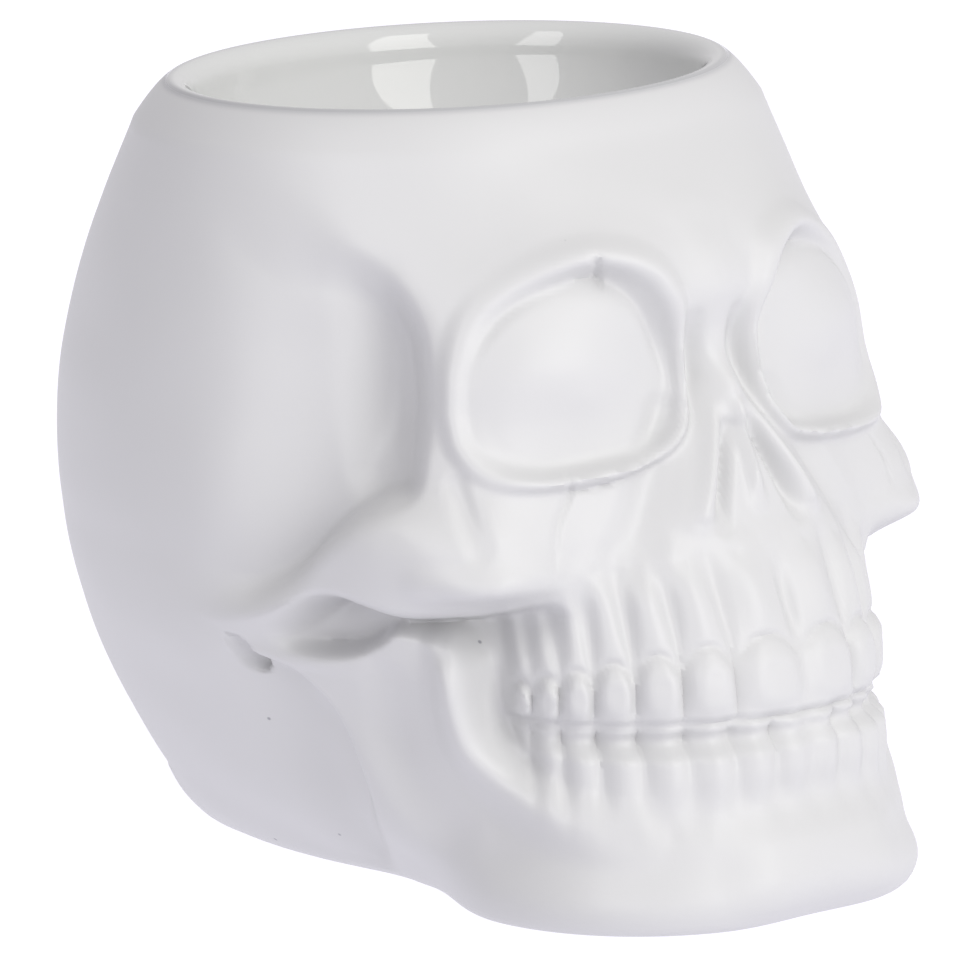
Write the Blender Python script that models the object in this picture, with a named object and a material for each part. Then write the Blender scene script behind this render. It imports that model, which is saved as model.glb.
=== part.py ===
"""Skull oil burner: one glazed ceramic casting, with a dish on top and a candle chamber below it.

The head is a loft of level sections round an upright axis. The face is carved into that loft with
rounded strokes, soft-edged patches and pillow-shaped teeth, each placed by its bearing from
straight ahead (degrees) and its height. The dish is turned into the top, and the chamber and its
arched opening at the back are cut out.

Metres, +Z up. The face looks along -Y, and the skull's right side is at -X.
"""

import math

import bmesh
import bpy
import numpy as np

MM = 0.001

# Outer size of the head
HEIGHT = 105.0 * MM
WIDTH = 99.7 * MM
DEPTH = 130.4 * MM

# Oil dish, measured to the crest of its lip
DISH_WIDTH = 78.0 * MM
DISH_LENGTH = 67.0 * MM
DISH_BACK = 9.0 * MM
DISH_DEPTH = 19.0 * MM
LIP_OUT = 5.0 * MM
LIP_DROP = 5.4 * MM
LIP_CURVE = 0.72
LIP_IN = 1.5 * MM

# Candle chamber
FLOOR = 9.0 * MM
WALL = 4.5 * MM
FACE_WALL = 10.5 * MM
DISH_FLOOR = 4.5 * MM
CHAMBER_DOME = 14.0 * MM

# Arched opening at the back, for a tealight
DOOR_WIDTH = 40.0 * MM
DOOR_HEIGHT = 44.0 * MM

# Ground foot
FOOT_ROUND = 1.5 * MM
FOOT_TRIM = 2.0 * MM

# Carving
EYE_DEPTH = 3.4 * MM
BROW_LIFT = 1.9 * MM
NOSE_LIFT = 2.4 * MM
NOSTRIL_DEPTH = 2.4 * MM
CHEEK_HOLLOW = 6.5 * MM
TEMPLE_HOLLOW = 4.8 * MM
ARCH_LIFT = 2.6 * MM
TOOTH_LIFT = 1.3 * MM
ROOT_LIFT = 0.9 * MM

# Mesh
COLUMNS_FACE = 168
COLUMNS_BACK = 44
ROWS = 104
KEEP_SHARE = 0.17

# Metres along X, Y and Z for each millimetre of the tables below, which draw a head 99.7 x 130.4 x 105
STRETCH = np.array((WIDTH / 99.7, DEPTH / 130.4, HEIGHT / 105.0))

# Bearings of the section radii, from straight ahead round to the back
BEARINGS = (0, 15, 30, 45, 60, 75, 90, 105, 120, 135, 150, 165, 180)

# Section radii in millimetres at those bearings, by height in millimetres
SECTIONS = {
    0: (58.0, 59.0, 54.3, 43.9, 28.4, 23.0, 21.3, 22.0, 24.5, 29.0, 36.5, 47.8, 53.5),
    3: (60.2, 60.5, 55.6, 45.2, 31.5, 26.0, 24.5, 25.0, 27.5, 33.0, 41.3, 51.3, 56.5),
    10: (60.5, 59.0, 53.0, 43.5, 37.0, 33.0, 30.5, 31.5, 35.0, 40.0, 47.5, 55.2, 59.5),
    18: (58.5, 57.0, 51.0, 43.5, 40.0, 37.0, 35.0, 37.0, 41.0, 46.0, 52.7, 59.3, 62.5),
    26: (58.0, 56.0, 50.5, 45.0, 41.5, 39.5, 39.5, 42.0, 45.5, 50.5, 56.7, 62.2, 64.7),
    34: (56.5, 55.0, 50.0, 46.0, 44.0, 43.0, 44.0, 47.0, 50.0, 54.2, 59.3, 64.2, 66.7),
    42: (54.0, 52.5, 48.4, 46.4, 46.8, 45.5, 47.0, 49.5, 52.5, 56.7, 60.9, 65.2, 67.7),
    46: (52.4, 51.0, 48.7, 52.3, 49.0, 46.0, 47.8, 50.2, 53.3, 57.3, 61.4, 65.6, 68.1),
    50: (50.5, 49.5, 48.5, 53.0, 50.0, 46.5, 48.5, 51.0, 54.2, 58.0, 61.6, 65.9, 68.3),
    58: (46.5, 46.0, 46.5, 50.0, 48.0, 46.5, 49.0, 51.7, 54.8, 58.3, 61.6, 65.4, 67.8),
    66: (42.5, 43.0, 45.0, 47.8, 46.0, 46.0, 48.5, 51.5, 54.7, 57.8, 60.8, 64.3, 66.2),
    74: (40.5, 42.0, 45.3, 46.8, 45.0, 45.5, 48.0, 51.0, 53.5, 56.1, 59.1, 62.0, 63.5),
    82: (42.0, 42.8, 43.5, 43.8, 43.5, 45.0, 47.3, 49.7, 52.1, 54.1, 56.5, 59.0, 60.0),
    90: (38.0, 38.3, 38.8, 39.0, 40.5, 43.0, 45.6, 48.1, 50.0, 51.5, 52.9, 54.4, 55.0),
}


def smooth(t):
    """Ease from 0 to 1."""
    t = np.clip(t, 0.0, 1.0)
    return t * t * (3.0 - 2.0 * t)


def spline(knots, rows, places):
    """Smooth curve through the rows at the knots, read at the places."""
    slopes = np.gradient(rows, knots, axis=0)
    i = np.clip(np.searchsorted(knots, places, side="right") - 1, 0, len(knots) - 2)
    span = (knots[i + 1] - knots[i])[:, None]
    t = (places[:, None] - knots[i][:, None]) / span
    return (
        (1 + 2 * t) * (1 - t) ** 2 * rows[i]
        + t * (1 - t) ** 2 * span * slopes[i]
        + t * t * (3 - 2 * t) * rows[i + 1]
        + t * t * (t - 1) * span * slopes[i + 1]
    )


def mirrored(radii):
    """The radii with two more on each side, as the other half of the head repeats them."""
    return np.array(radii[2:0:-1] + radii + radii[-2:-4:-1], float)


def rim_radius(bearing, out):
    """Radius, in table millimetres, of the dish's oval crest moved outward by a distance in metres."""
    turn = np.radians(bearing)
    half_width = (0.5 * DISH_WIDTH + out) / STRETCH[0]
    half_length = (0.5 * DISH_LENGTH + out) / STRETCH[1]
    back = DISH_BACK / STRETCH[1]
    a = (np.cos(turn) / half_length) ** 2 + (np.sin(turn) / half_width) ** 2
    b = 2.0 * np.cos(turn) * back / half_length**2
    c = (back / half_length) ** 2 - 1.0
    return (np.sqrt(b * b - 4.0 * a * c) - b) / (2.0 * a)


SHOULDER = (HEIGHT - LIP_DROP) / STRETCH[2]
SECTIONS[SHOULDER] = tuple(rim_radius(np.array(BEARINGS, float), LIP_OUT))
SECTION_HEIGHTS = np.array(sorted(SECTIONS), float)
SECTION_RADII = np.array([mirrored(SECTIONS[height]) for height in sorted(SECTIONS)])
SECTION_BEARINGS = np.array((-30, -15) + BEARINGS + (195, 210), float)


def head_radius(bearing, height):
    """Radius of the plain head at arrays of bearings in degrees and heights in millimetres."""
    bearing = np.abs(bearing)
    columns = spline(SECTION_BEARINGS, SECTION_RADII.T, bearing)
    slopes = np.gradient(columns, SECTION_HEIGHTS, axis=1)
    i = np.clip(np.searchsorted(SECTION_HEIGHTS, height, side="right") - 1, 0, len(SECTION_HEIGHTS) - 2)
    n = np.arange(len(height))
    span = SECTION_HEIGHTS[i + 1] - SECTION_HEIGHTS[i]
    t = (height - SECTION_HEIGHTS[i]) / span
    return (
        (1 + 2 * t) * (1 - t) ** 2 * columns[n, i]
        + t * (1 - t) ** 2 * span * slopes[n, i]
        + t * t * (3 - 2 * t) * columns[n, i + 1]
        + t * t * (t - 1) * span * slopes[n, i + 1]
    )


def head_point(bearing, height):
    """Points of the plain head, in millimetres, on the skull's right side for bearings over 0."""
    radius = head_radius(bearing, height)
    turn = np.radians(bearing)
    return np.stack([-radius * np.sin(turn), -radius * np.cos(turn), height], axis=-1)


def curve(rows, closed=False):
    """Points every millimetre or so of a smooth curve through rows of bearing, height, lift and width."""
    rows = np.array(rows, float)
    if closed:
        rows = np.vstack([rows[-2:], rows, rows[:3]])
    places = head_point(rows[:, 0], rows[:, 1])
    steps = np.maximum(np.linalg.norm(np.diff(places, axis=0), axis=1), 1e-6)
    knots = np.concatenate([[0.0], np.cumsum(np.sqrt(steps))])
    start, end = (knots[2], knots[-3]) if closed else (0.0, knots[-1])
    return spline(knots, rows, np.linspace(start, end, max(6, int(steps.sum()))))


class Carving:
    """Lift of the surface over the plain head, built up stroke by stroke and the same on both sides."""

    def __init__(self, bearing, height):
        self.bearing = np.abs(bearing)
        self.height = height
        self.lift = np.zeros(len(bearing))
        self.points = head_point(self.bearing, height)

    def reach(self, line, width):
        """Which points may lie within a width of the line."""
        low = line.min(axis=0) - width
        high = line.max(axis=0) + width
        return np.nonzero(((self.points > low) & (self.points < high)).all(axis=1))[0]

    def measure(self, near, line, lift, width):
        """Least distance to the line as a share of its width there, and the lift averaged by nearness."""
        points = self.points[near]
        least = np.full(len(near), np.inf)
        weight = np.zeros(len(near))
        total = np.zeros(len(near))
        for k in range(len(line) - 1):
            along = line[k + 1] - line[k]
            t = np.clip((points - line[k]) @ along / max(along @ along, 1e-9), 0.0, 1.0)
            gap = np.linalg.norm(points - line[k] - t[:, None] * along, axis=1)
            least = np.minimum(least, gap / (width[k] + t * (width[k + 1] - width[k])))
            share = 1.0 / (gap + 0.3) ** 3
            weight += share
            total += share * (lift[k] + t * (lift[k + 1] - lift[k]))
        return least, total / weight

    def stroke(self, rows, depth=1.0):
        """A rounded ridge or groove along a curve: rows of bearing, height, share of depth, half width."""
        rows = curve(rows)
        line = head_point(rows[:, 0], rows[:, 1])
        near = self.reach(line, rows[:, 3].max())
        least, lift = self.measure(near, line, rows[:, 2], rows[:, 3])
        self.lift[near] += depth * lift * smooth(1.0 - least)

    def patch(self, rows, depth=1.0):
        """A raised or sunk area inside a closed curve, with an edge as soft as the row's width."""
        rows = curve(rows, closed=True)
        rows = np.vstack([rows, rows[:1]])
        line = head_point(rows[:, 0], rows[:, 1])
        near = self.reach(line, rows[:, 3].max() + 6.0)
        least, lift = self.measure(near, line, rows[:, 2], rows[:, 3])
        least[self.inside(near, rows)] *= -1.0
        self.lift[near] += depth * lift * smooth(0.5 - 0.5 * least)

    def inside(self, near, rows):
        """Which of the near points lie inside the closed curve, in bearing and height."""
        x = self.bearing[near]
        y = self.height[near]
        within = np.zeros(len(near), bool)
        for (x1, y1), (x2, y2) in zip(rows[:-1, :2], rows[1:, :2]):
            if y1 != y2:
                crosses = ((y1 > y) != (y2 > y)) & (x < (x2 - x1) * (y - y1) / (y2 - y1) + x1)
                within ^= crosses
        return within

    def pillow(self, bearing, height, half_bearing, half_height, lift, flat=0.45, power=4.0):
        """A raised block with rounded sides, such as the crown of a tooth."""
        x = np.abs((self.bearing - bearing) / half_bearing)
        y = np.abs((self.height - height) / half_height)
        share = (x**power + y**power) ** (1.0 / power)
        self.lift += lift * smooth((1.0 - share) / flat)


def carve_temple(carving):
    """The hollow behind the eye's frame, deepest beside it and fading up the side of the head."""
    carving.patch(
        (
            (94, 91, 0.1, 8), (82, 89.5, 0.3, 7), (71, 86, 0.6, 4.5), (62, 82, 0.9, 3.4),
            (57.5, 77, 1.0, 3),
            (56, 70, 1.0, 2.6), (56.3, 63, 1.0, 2.4), (57, 58, 1, 2), (62, 56.2, 1, 1.8),
            (67, 53.9, 1, 1.7),
            (72, 50.8, 0.9, 1.7), (77, 47.2, 0.8, 1.8), (83, 44, 0.6, 2.2), (90, 42, 0.4, 3),
            (98, 44, 0.2, 7),
            (97, 56, 0.1, 14), (96, 72, 0.1, 16), (98, 84, 0.1, 14),
        ),
        -TEMPLE_HOLLOW / MM,
    )
    carving.stroke(
        ((66, 83, 0.1, 7), (63, 76, 0.4, 9), (62.5, 67, 0.5, 9), (64, 60, 0.3, 7)), -TEMPLE_HOLLOW / MM
    )


def carve_cheek(carving):
    """The cheekbone with its corner, the arch running back from it, and the hollow below."""
    carving.patch(
        (
            (46, 53, 0.5, 7), (57, 56, 1.0, 3), (64, 54.5, 1.0, 2.4), (68.5, 52, 1.0, 2.4),
            (73, 48.8, 1.0, 2.4),
            (79, 44.4, 0.9, 2.6), (86, 41.4, 0.7, 2.8), (95, 39.5, 0.4, 3.4), (101, 38, 0.1, 5),
            (95, 36.6, 0.3, 3),
            (87, 38, 0.7, 2.2), (80, 40.2, 1, 1.8), (75, 42.6, 1, 1.7), (70, 43.4, 1, 1.7),
            (65, 42.6, 1, 1.7),
            (60, 41.5, 1, 1.6), (52, 41.4, 0.9, 1.6), (46, 41.8, 0.7, 2), (41, 44, 0.4, 3.4),
        ),
        ARCH_LIFT / MM,
    )
    carving.stroke(((38, 47, 0.3, 5), (45, 45.6, 0.6, 5), (53, 45.5, 0.2, 5)), ARCH_LIFT / MM)
    carving.patch(
        (
            (33.5, 41.2, 0.8, 1.4), (36, 42.5, 1, 1.4), (40, 42, 1.2, 1.4), (45, 40.8, 1.2, 1.3),
            (52, 40.4, 0.9, 1.2),
            (60, 40.6, 0.6, 1.2), (65, 41.6, 0.9, 1.2), (70, 42.6, 1, 1.3), (75, 41.8, 1, 1.4),
            (80, 39.2, 0.7, 1.6),
            (85, 36, 0.2, 1.4), (78, 35, 0.7, 1.2), (70, 35.6, 0.8, 1.2), (65, 37.3, 0.9, 1.2),
            (61.5, 38.9, 0.7, 1.1),
            (56, 38.6, 0.6, 1.2), (51, 38.2, 0.9, 1.6), (47.3, 35, 0.9, 2.4), (46.3, 30, 0.9, 2.8),
            (44.3, 25.5, 0.8, 3.2),
            (40.5, 22, 0.6, 4), (37.5, 21.5, 0.4, 4.5), (38.5, 25, 0.6, 5), (38.5, 30, 0.7, 5),
            (37, 35, 0.8, 4),
            (34, 38.5, 0.8, 2),
        ),
        -CHEEK_HOLLOW / MM,
    )
    carving.patch(
        ((93.8, 35.8, 1, 0.8), (91.4, 32.8, 1, 0.8), (93.6, 30.8, 1, 0.8), (95.4, 32.6, 1, 0.8)),
        -0.5 * CHEEK_HOLLOW / MM,
    )


def carve_jaw(carving):
    """The jaw's upright with its ridge sweeping forward, the step behind it, and the chin."""
    carving.patch(
        (
            (93, 33.2, 0.4, 1.2), (88, 32.4, 0.9, 1.4), (84, 31, 1.1, 1.5), (79.5, 27.6, 1.1, 1.7),
            (76.6, 23.6, 1.1, 1.9),
            (75, 19, 1.1, 2.2), (74.3, 14, 1, 2.5), (77.5, 8, 0.8, 3), (86, 3, 0.5, 3), (104, 4, 0.1, 12),
            (112, 16, 0, 16), (108, 27, 0, 12), (100, 31.5, 0.2, 4),
        ),
        -3.3,
    )
    carving.stroke(
        ((91, 34, 0.2, 1.4), (84, 33.2, 0.6, 1.8), (76, 33.2, 0.8, 2.2), (69, 33.8, 0.4, 2.6)), 0.8
    )
    carving.stroke(((82, 28.5, 0.4, 4), (74, 23, 0.5, 5), (70, 17, 0.6, 6), (67, 9, 0.4, 6)), 1.0)
    carving.stroke(
        (
            (53, 37.5, 0.3, 3.4), (52.2, 33, 0.9, 4), (51.6, 28, 1, 4.4), (49.8, 23.6, 1, 4.8),
            (45, 19.6, 1, 5),
            (38.5, 16.2, 0.9, 5.2), (32, 14, 0.5, 5.5), (26, 12.5, 0.2, 6),
        ),
        3.0,
    )
    carving.stroke(((64, 31, 0.5, 5), (62.5, 22, 0.9, 6.5), (55, 12.5, 0.7, 7)), -1.7)
    carving.stroke(((-8, 7, 1, 9), (0, 7.5, 1, 9), (8, 7, 1, 9)), 1.4)
    carving.stroke(((-6, 16, 1, 5), (8, 16, 1, 5), (20, 15.5, 0.6, 5)), -1.0)


def carve_eye(carving):
    """The eye's raised frame, a domed floor inside it, and the dark recess under the brow."""
    carving.stroke(
        ((44, 84, 0.1, 5), (34, 87, 0.4, 6), (24, 88.5, 0.7, 6), (14, 87, 0.6, 6)), 0.5 * BROW_LIFT / MM
    )
    carving.stroke(
        (
            (50.5, 68, 0.6, 2.6), (50, 74, 0.5, 2.8), (47, 80, 0.35, 3.2), (38, 84.6, 0.5, 3.6),
            (24, 87.0, 0.9, 3.8),
            (14.5, 84.8, 0.9, 3.6), (9.8, 78.5, 0.7, 2.6), (8.8, 71, 1, 1.7), (10.3, 64.8, 1, 1.7),
            (16, 60.8, 1, 1.7),
            (27, 59.3, 1, 1.7), (37, 59.0, 0.9, 1.8), (44.5, 60.4, 0.5, 2.4), (49, 63.8, 0.6, 2.4),
            (50.5, 68, 0.6, 2.6),
        ),
        BROW_LIFT / MM,
    )
    carving.patch(
        (
            (47.5, 69.5, 0.5, 2.8), (46.8, 75.5, 0.8, 3.2), (42.5, 80.4, 1.2, 3.2), (33, 83.4, 1.4, 2.8),
            (24.5, 84.2, 1.5, 2.6), (17.5, 81.4, 1.5, 3.0), (12.4, 75.5, 1.1, 2.4), (10.8, 69.8, 0.6, 1.5),
            (12.4, 65.2, 0.5, 1.3), (18, 62.4, 0.5, 1.3), (28, 61.0, 0.5, 1.3), (37, 60.8, 0.5, 1.5),
            (43.5, 62.2, 0.4, 2.0), (46.8, 65.4, 0.4, 2.6),
        ),
        -EYE_DEPTH / MM,
    )
    carving.pillow(30, 69.0, 25, 15.5, 0.8 * EYE_DEPTH / MM, 0.9, 2.0)
    carving.stroke(((49.5, 59, 0.6, 2.2), (48, 55.5, 1, 2.6), (46, 51.5, 0.6, 2.6)), -0.9)


def carve_nose(carving):
    """The nose bridge, widening to the flanges, with two slots either side of the septum."""
    carving.stroke(((0, 90, 0.3, 7), (0, 85, 1, 7), (0, 80, 0.7, 6), (0, 76, 0.3, 5)), 0.9)
    carving.stroke(
        ((0, 79, 0.1, 4), (0, 75, 0.4, 4.2), (0, 71, 0.8, 4), (0, 68, 1.0, 3.4), (0, 65.5, 0.6, 2.6)), 2.8
    )
    carving.stroke(
        ((5.4, 77, 0.3, 2.4), (5.8, 72.5, 1, 2.8), (6.6, 68.5, 0.9, 2.8), (8, 65.5, 0.2, 2.4)), -1.4
    )
    carving.patch(
        (
            (0, 71, 0.6, 2.4), (3.5, 69, 0.8, 2.2), (6, 65, 1, 2), (9.4, 60, 1, 2.2), (12.3, 55.5, 1, 2.4),
            (13.6, 51.8, 0.9, 2.6), (11.6, 49.6, 0.6, 2.6), (6, 49.2, 0.4, 3), (0, 49.2, 0.4, 3),
            (-7, 49.6, 0.4, 3),
            (-10, 56, 1, 2.2), (-6, 66, 1, 2.2), (-3, 70, 0.8, 2.4),
        ),
        NOSE_LIFT / MM,
    )
    carving.patch(
        (
            (0, 64.6, 0.3, 1.5), (2.8, 63.8, 0.5, 1.4), (5.0, 60, 0.6, 1.5), (7.8, 55.5, 0.7, 1.8),
            (9.0, 52.4, 0.4, 2.2),
            (6, 51, 0.2, 2.6), (0, 50.8, 0.1, 2.6), (-6, 51, 0.2, 2.6), (-6.5, 57, 0.6, 1.8),
            (-2.8, 63.8, 0.5, 1.4),
        ),
        -NOSTRIL_DEPTH / MM,
    )
    carving.stroke(
        ((2.6, 63.6, 0.7, 1.2), (3.6, 60, 1, 1.3), (5.2, 56, 1, 1.4),
         (7, 53, 0.4, 1.4)), -NOSTRIL_DEPTH / MM
    )
    carving.stroke(
        ((0, 65, 0.5, 1.3), (0, 60, 0.9, 1.5), (0, 56, 1, 2), (0, 52, 0.7, 4)), NOSTRIL_DEPTH / MM
    )
    carving.stroke(((3, 49.4, 0.4, 2.2), (9, 49.4, 0.9, 2.2), (14, 50.4, 0.5, 2.4)), -0.6)
    carving.stroke(
        ((13.5, 66, 0.4, 3.4), (16.5, 60, 0.9, 4.2), (20, 54, 1, 4.8), (24, 47.5, 0.6, 5.5)), -1.7
    )


def carve_teeth(carving):
    """Upper crowns under long root ridges, the bite, and the lower crowns tucked behind it."""
    upper = (0, 10.6, 17.9, 24.2, 29.8, 34.4, 38.4, 42)
    for near, far in zip(upper[:-1], upper[1:]):
        middle = 0.5 * (near + far)
        half = 0.5 * (far - near)
        biting = 27.8 - 0.01 * middle
        gum = 37.2 - 0.0032 * middle**2
        root = 48.5 - 0.06 * middle
        wide = 2.4 + 0.45 * half
        carving.pillow(
            middle, 0.5 * (biting + gum), 1.08 * half, 0.6 * (gum - biting), TOOTH_LIFT / MM, 0.5, 3.0
        )
        carving.stroke(
            (
                (middle, gum + 0.6, 0.7, wide), (middle + 0.4, gum + 4, 1.3, wide),
                (middle + 1, gum + 8, 1.2, wide),
                (middle + 1.6, root, 0.3, wide),
            ),
            ROOT_LIFT / MM,
        )
        carving.stroke(
            (
                (far, biting, 0.8, 0.8), (far, gum - 1, 0.8, 0.9), (far + 0.3, gum + 3, 1.2, 1.8),
                (far + 0.8, gum + 7, 1, 2), (far + 1.4, gum + 10, 0.3, 2.2),
            ),
            -ROOT_LIFT / MM,
        )
    carving.stroke(((0, 36, 0.2, 1.4), (0, 40, 1.2, 1.8), (0, 44, 1, 2), (0, 47, 0.2, 2)), -ROOT_LIFT / MM)
    carving.stroke(
        ((-6, 25.6, 0.4, 2), (4, 25.6, 0.7, 2), (14, 25.5, 1.4, 2.2), (30, 25.5, 1.5, 2.2),
        (41, 26, 1, 3)), -1.3
    )
    carving.stroke(
        ((-4, 27.2, 1, 0.9), (8, 27.3, 1, 0.9), (18, 27.2, 1, 1), (28, 27, 1, 1.1),
         (41, 27.2, 1, 1.1)), -0.9
    )
    lower = (0, 5.6, 11.4, 17.4, 23.4, 29, 34.2, 38.5)
    for near, far in zip(lower[:-1], lower[1:]):
        middle = 0.5 * (near + far)
        half = 0.5 * (far - near)
        wide = 2.0 + 0.3 * half
        carving.stroke(
            (
                (middle, 26, 0.7, wide), (middle, 23.2, 0.9, wide), (middle, 20, 0.8, wide),
                (middle, 16.5, 0.4, wide),
                (middle, 13, 0, wide),
            ),
            1.2 * ROOT_LIFT / MM,
        )
        carving.stroke(((far, 26, 0.9, 0.8), (far, 22, 0.8, 1), (far, 18, 0.3, 1.4)), -ROOT_LIFT / MM)


def carved_lift(bearing, height):
    """Lift of the carved face over the plain head, in millimetres."""
    carving = Carving(bearing, height)
    carve_temple(carving)
    carve_cheek(carving)
    carve_jaw(carving)
    carve_eye(carving)
    carve_nose(carving)
    carve_teeth(carving)
    return carving.lift


def columns_of_bearing():
    """Bearings of the mesh's columns, close together over the face and wider at the back."""
    face = np.linspace(-110.0, 110.0, COLUMNS_FACE)
    back = np.linspace(110.0, 250.0, COLUMNS_BACK + 2)[1:-1]
    return np.concatenate([face, back])


def level(bearing, radius, height):
    """One level ring of the mesh, in metres, from radii and a height in table millimetres."""
    turn = np.radians(bearing)
    ring = np.stack([-radius * np.sin(turn), -radius * np.cos(turn), np.full(len(turn), height)], axis=-1)
    return ring * STRETCH


def head_rings():
    """Rings of the head from under its foot, up over the lip and down into the dish."""
    bearing = columns_of_bearing()
    wrapped = (bearing + 180.0) % 360.0 - 180.0
    foot = FOOT_ROUND / STRETCH[2]
    rings = [level(bearing, head_radius(wrapped, 0.0 * wrapped) - foot, -FOOT_TRIM / STRETCH[2])]
    for share in np.linspace(0.0, 1.0, 4):
        inset = foot * (1.0 - math.sin(0.5 * math.pi * share))
        height = foot * (1.0 - math.cos(0.5 * math.pi * share))
        rings.append(level(bearing, head_radius(wrapped, 0.0 * wrapped + height) - inset, height))
    heights = np.linspace(foot, SHOULDER, ROWS)[1:]
    all_bearings = np.tile(wrapped, len(heights))
    all_heights = np.repeat(heights, len(wrapped))
    radius = head_radius(all_bearings, all_heights) + carved_lift(all_bearings, all_heights)
    for height, radii in zip(heights, radius.reshape(len(heights), -1)):
        rings.append(level(bearing, radii, height))
    for share in np.linspace(0.0, 1.0, 7)[1:]:
        drop = (1.0 - share) ** 1.5
        out = LIP_OUT * drop**LIP_CURVE
        rings.append(level(bearing, rim_radius(wrapped, out), (HEIGHT - LIP_DROP * drop) / STRETCH[2]))
    for share in (0.35, 0.7, 1.0):
        turned = 0.5 * math.pi * share
        top = (HEIGHT - LIP_IN * (1.0 - math.cos(turned))) / STRETCH[2]
        rings.append(level(bearing, rim_radius(wrapped, -LIP_IN * math.sin(turned)), top))
    mouth = rings[-1]
    middle = np.array((0.0, DISH_BACK, 0.0))
    for share in np.linspace(0.0, 1.0, 12)[1:-1]:
        turned = 0.5 * math.pi * share
        ring = middle + (mouth - middle) * math.cos(turned) ** 0.7
        ring[:, 2] = HEIGHT - LIP_IN - (DISH_DEPTH - LIP_IN) * math.sin(turned)
        rings.append(ring)
    return rings, np.array((0.0, DISH_BACK, HEIGHT - DISH_DEPTH))


def closed_mesh(name, rings, bottom, top):
    """A closed mesh through level rings, fanned to one point below and one above."""
    shell = bmesh.new()
    rows = [[shell.verts.new(point) for point in ring] for ring in rings]
    first = shell.verts.new(bottom)
    last = shell.verts.new(top)
    count = len(rows[0])
    for lower, upper in zip(rows[:-1], rows[1:]):
        for k in range(count):
            n = (k + 1) % count
            shell.faces.new((lower[k], upper[k], upper[n], lower[n]))
    for k in range(count):
        n = (k + 1) % count
        shell.faces.new((first, rows[0][k], rows[0][n]))
        shell.faces.new((last, rows[-1][n], rows[-1][k]))
    bmesh.ops.recalc_face_normals(shell, faces=shell.faces)
    mesh = bpy.data.meshes.new(name)
    shell.to_mesh(mesh)
    shell.free()
    return mesh


def place(name, mesh):
    """A new object of that name in the scene."""
    made = bpy.data.objects.new(name, mesh)
    bpy.context.scene.collection.objects.link(made)
    return made


def hide_cutter(cutter):
    """Show a cutter as wire and keep it out of the model."""
    cutter.hide_render = True
    cutter.display_type = "WIRE"


def cut(body, cutter, name):
    """Take the cutter's shape out of the body."""
    hide_cutter(cutter)
    boolean = body.modifiers.new(name, "BOOLEAN")
    boolean.operation = "DIFFERENCE"
    boolean.solver = "EXACT"
    boolean.object = cutter


def shift(mesh, back):
    """Move a mesh along Y."""
    for vertex in mesh.vertices:
        vertex.co.y += back
    return mesh


def chamber_cutter(back):
    """The hollow under the dish, one wall inside the plain head and domed at the top."""
    bearing = np.arange(0.0, 360.0, 7.5)
    wrapped = np.abs((bearing + 180.0) % 360.0 - 180.0)
    wall = (WALL + (FACE_WALL - WALL) * smooth((105.0 - wrapped) / 30.0)) / MM
    floor = FLOOR / STRETCH[2]
    top = (HEIGHT - DISH_DEPTH - DISH_FLOOR) / STRETCH[2]
    dome = CHAMBER_DOME / STRETCH[2]
    rings = []
    for height in np.linspace(floor, top - dome, 12):
        radius = head_radius(wrapped, 0.0 * wrapped + height) - wall
        rings.append(level(bearing, radius, height))
    for share in (0.3, 0.55, 0.75, 0.9):
        turned = 0.5 * math.pi * share
        rise = top - dome + dome * math.sin(turned)
        rings.append(level(bearing, radius * math.cos(turned) ** 0.8, rise))
    mesh = closed_mesh("chamber_cutter", rings, (0.0, 0.0, FLOOR), (0.0, 0.0, top * STRETCH[2]))
    return place("chamber_cutter", shift(mesh, back))


def door_cutter(back):
    """The arched way in at the back, level with the chamber's floor."""
    half = 0.5 * DOOR_WIDTH
    spring = FLOOR + DOOR_HEIGHT - half
    outline = [(half, FLOOR), (half, spring)]
    for k in range(1, 16):
        turn = math.pi * k / 16
        outline.append((half * math.cos(turn), spring + half * math.sin(turn)))
    outline += [(-half, spring), (-half, FLOOR)]
    arch = bmesh.new()
    face = arch.faces.new([arch.verts.new((x, 0.5 * DISH_LENGTH, z)) for x, z in outline])
    pushed = bmesh.ops.extrude_face_region(arch, geom=[face])
    moved = [item for item in pushed["geom"] if isinstance(item, bmesh.types.BMVert)]
    bmesh.ops.translate(arch, verts=moved, vec=(0.0, DEPTH, 0.0))
    bmesh.ops.recalc_face_normals(arch, faces=arch.faces)
    mesh = bpy.data.meshes.new("door_cutter")
    arch.to_mesh(mesh)
    arch.free()
    return place("door_cutter", shift(mesh, back))


def foot_cutter():
    """Everything below the ground foot."""
    block = bmesh.new()
    bmesh.ops.create_cube(block, size=1.0)
    size = (2.0 * WIDTH, 2.0 * DEPTH, 2.0 * FOOT_TRIM)
    bmesh.ops.scale(block, verts=block.verts, vec=size)
    bmesh.ops.translate(block, verts=block.verts, vec=(0.0, 0.0, -FOOT_TRIM))
    mesh = bpy.data.meshes.new("foot_cutter")
    block.to_mesh(mesh)
    block.free()
    return place("foot_cutter", mesh)


def glazed_ceramic():
    """White ceramic under a thin satin glaze."""
    material = bpy.data.materials.new("white_glazed_ceramic")
    material.use_nodes = True
    shader = material.node_tree.nodes["Principled BSDF"]
    shader.inputs["Base Color"].default_value = (0.80, 0.80, 0.80, 1.0)
    shader.inputs["Roughness"].default_value = 0.35
    shader.inputs["Metallic"].default_value = 0.0
    return material


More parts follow.
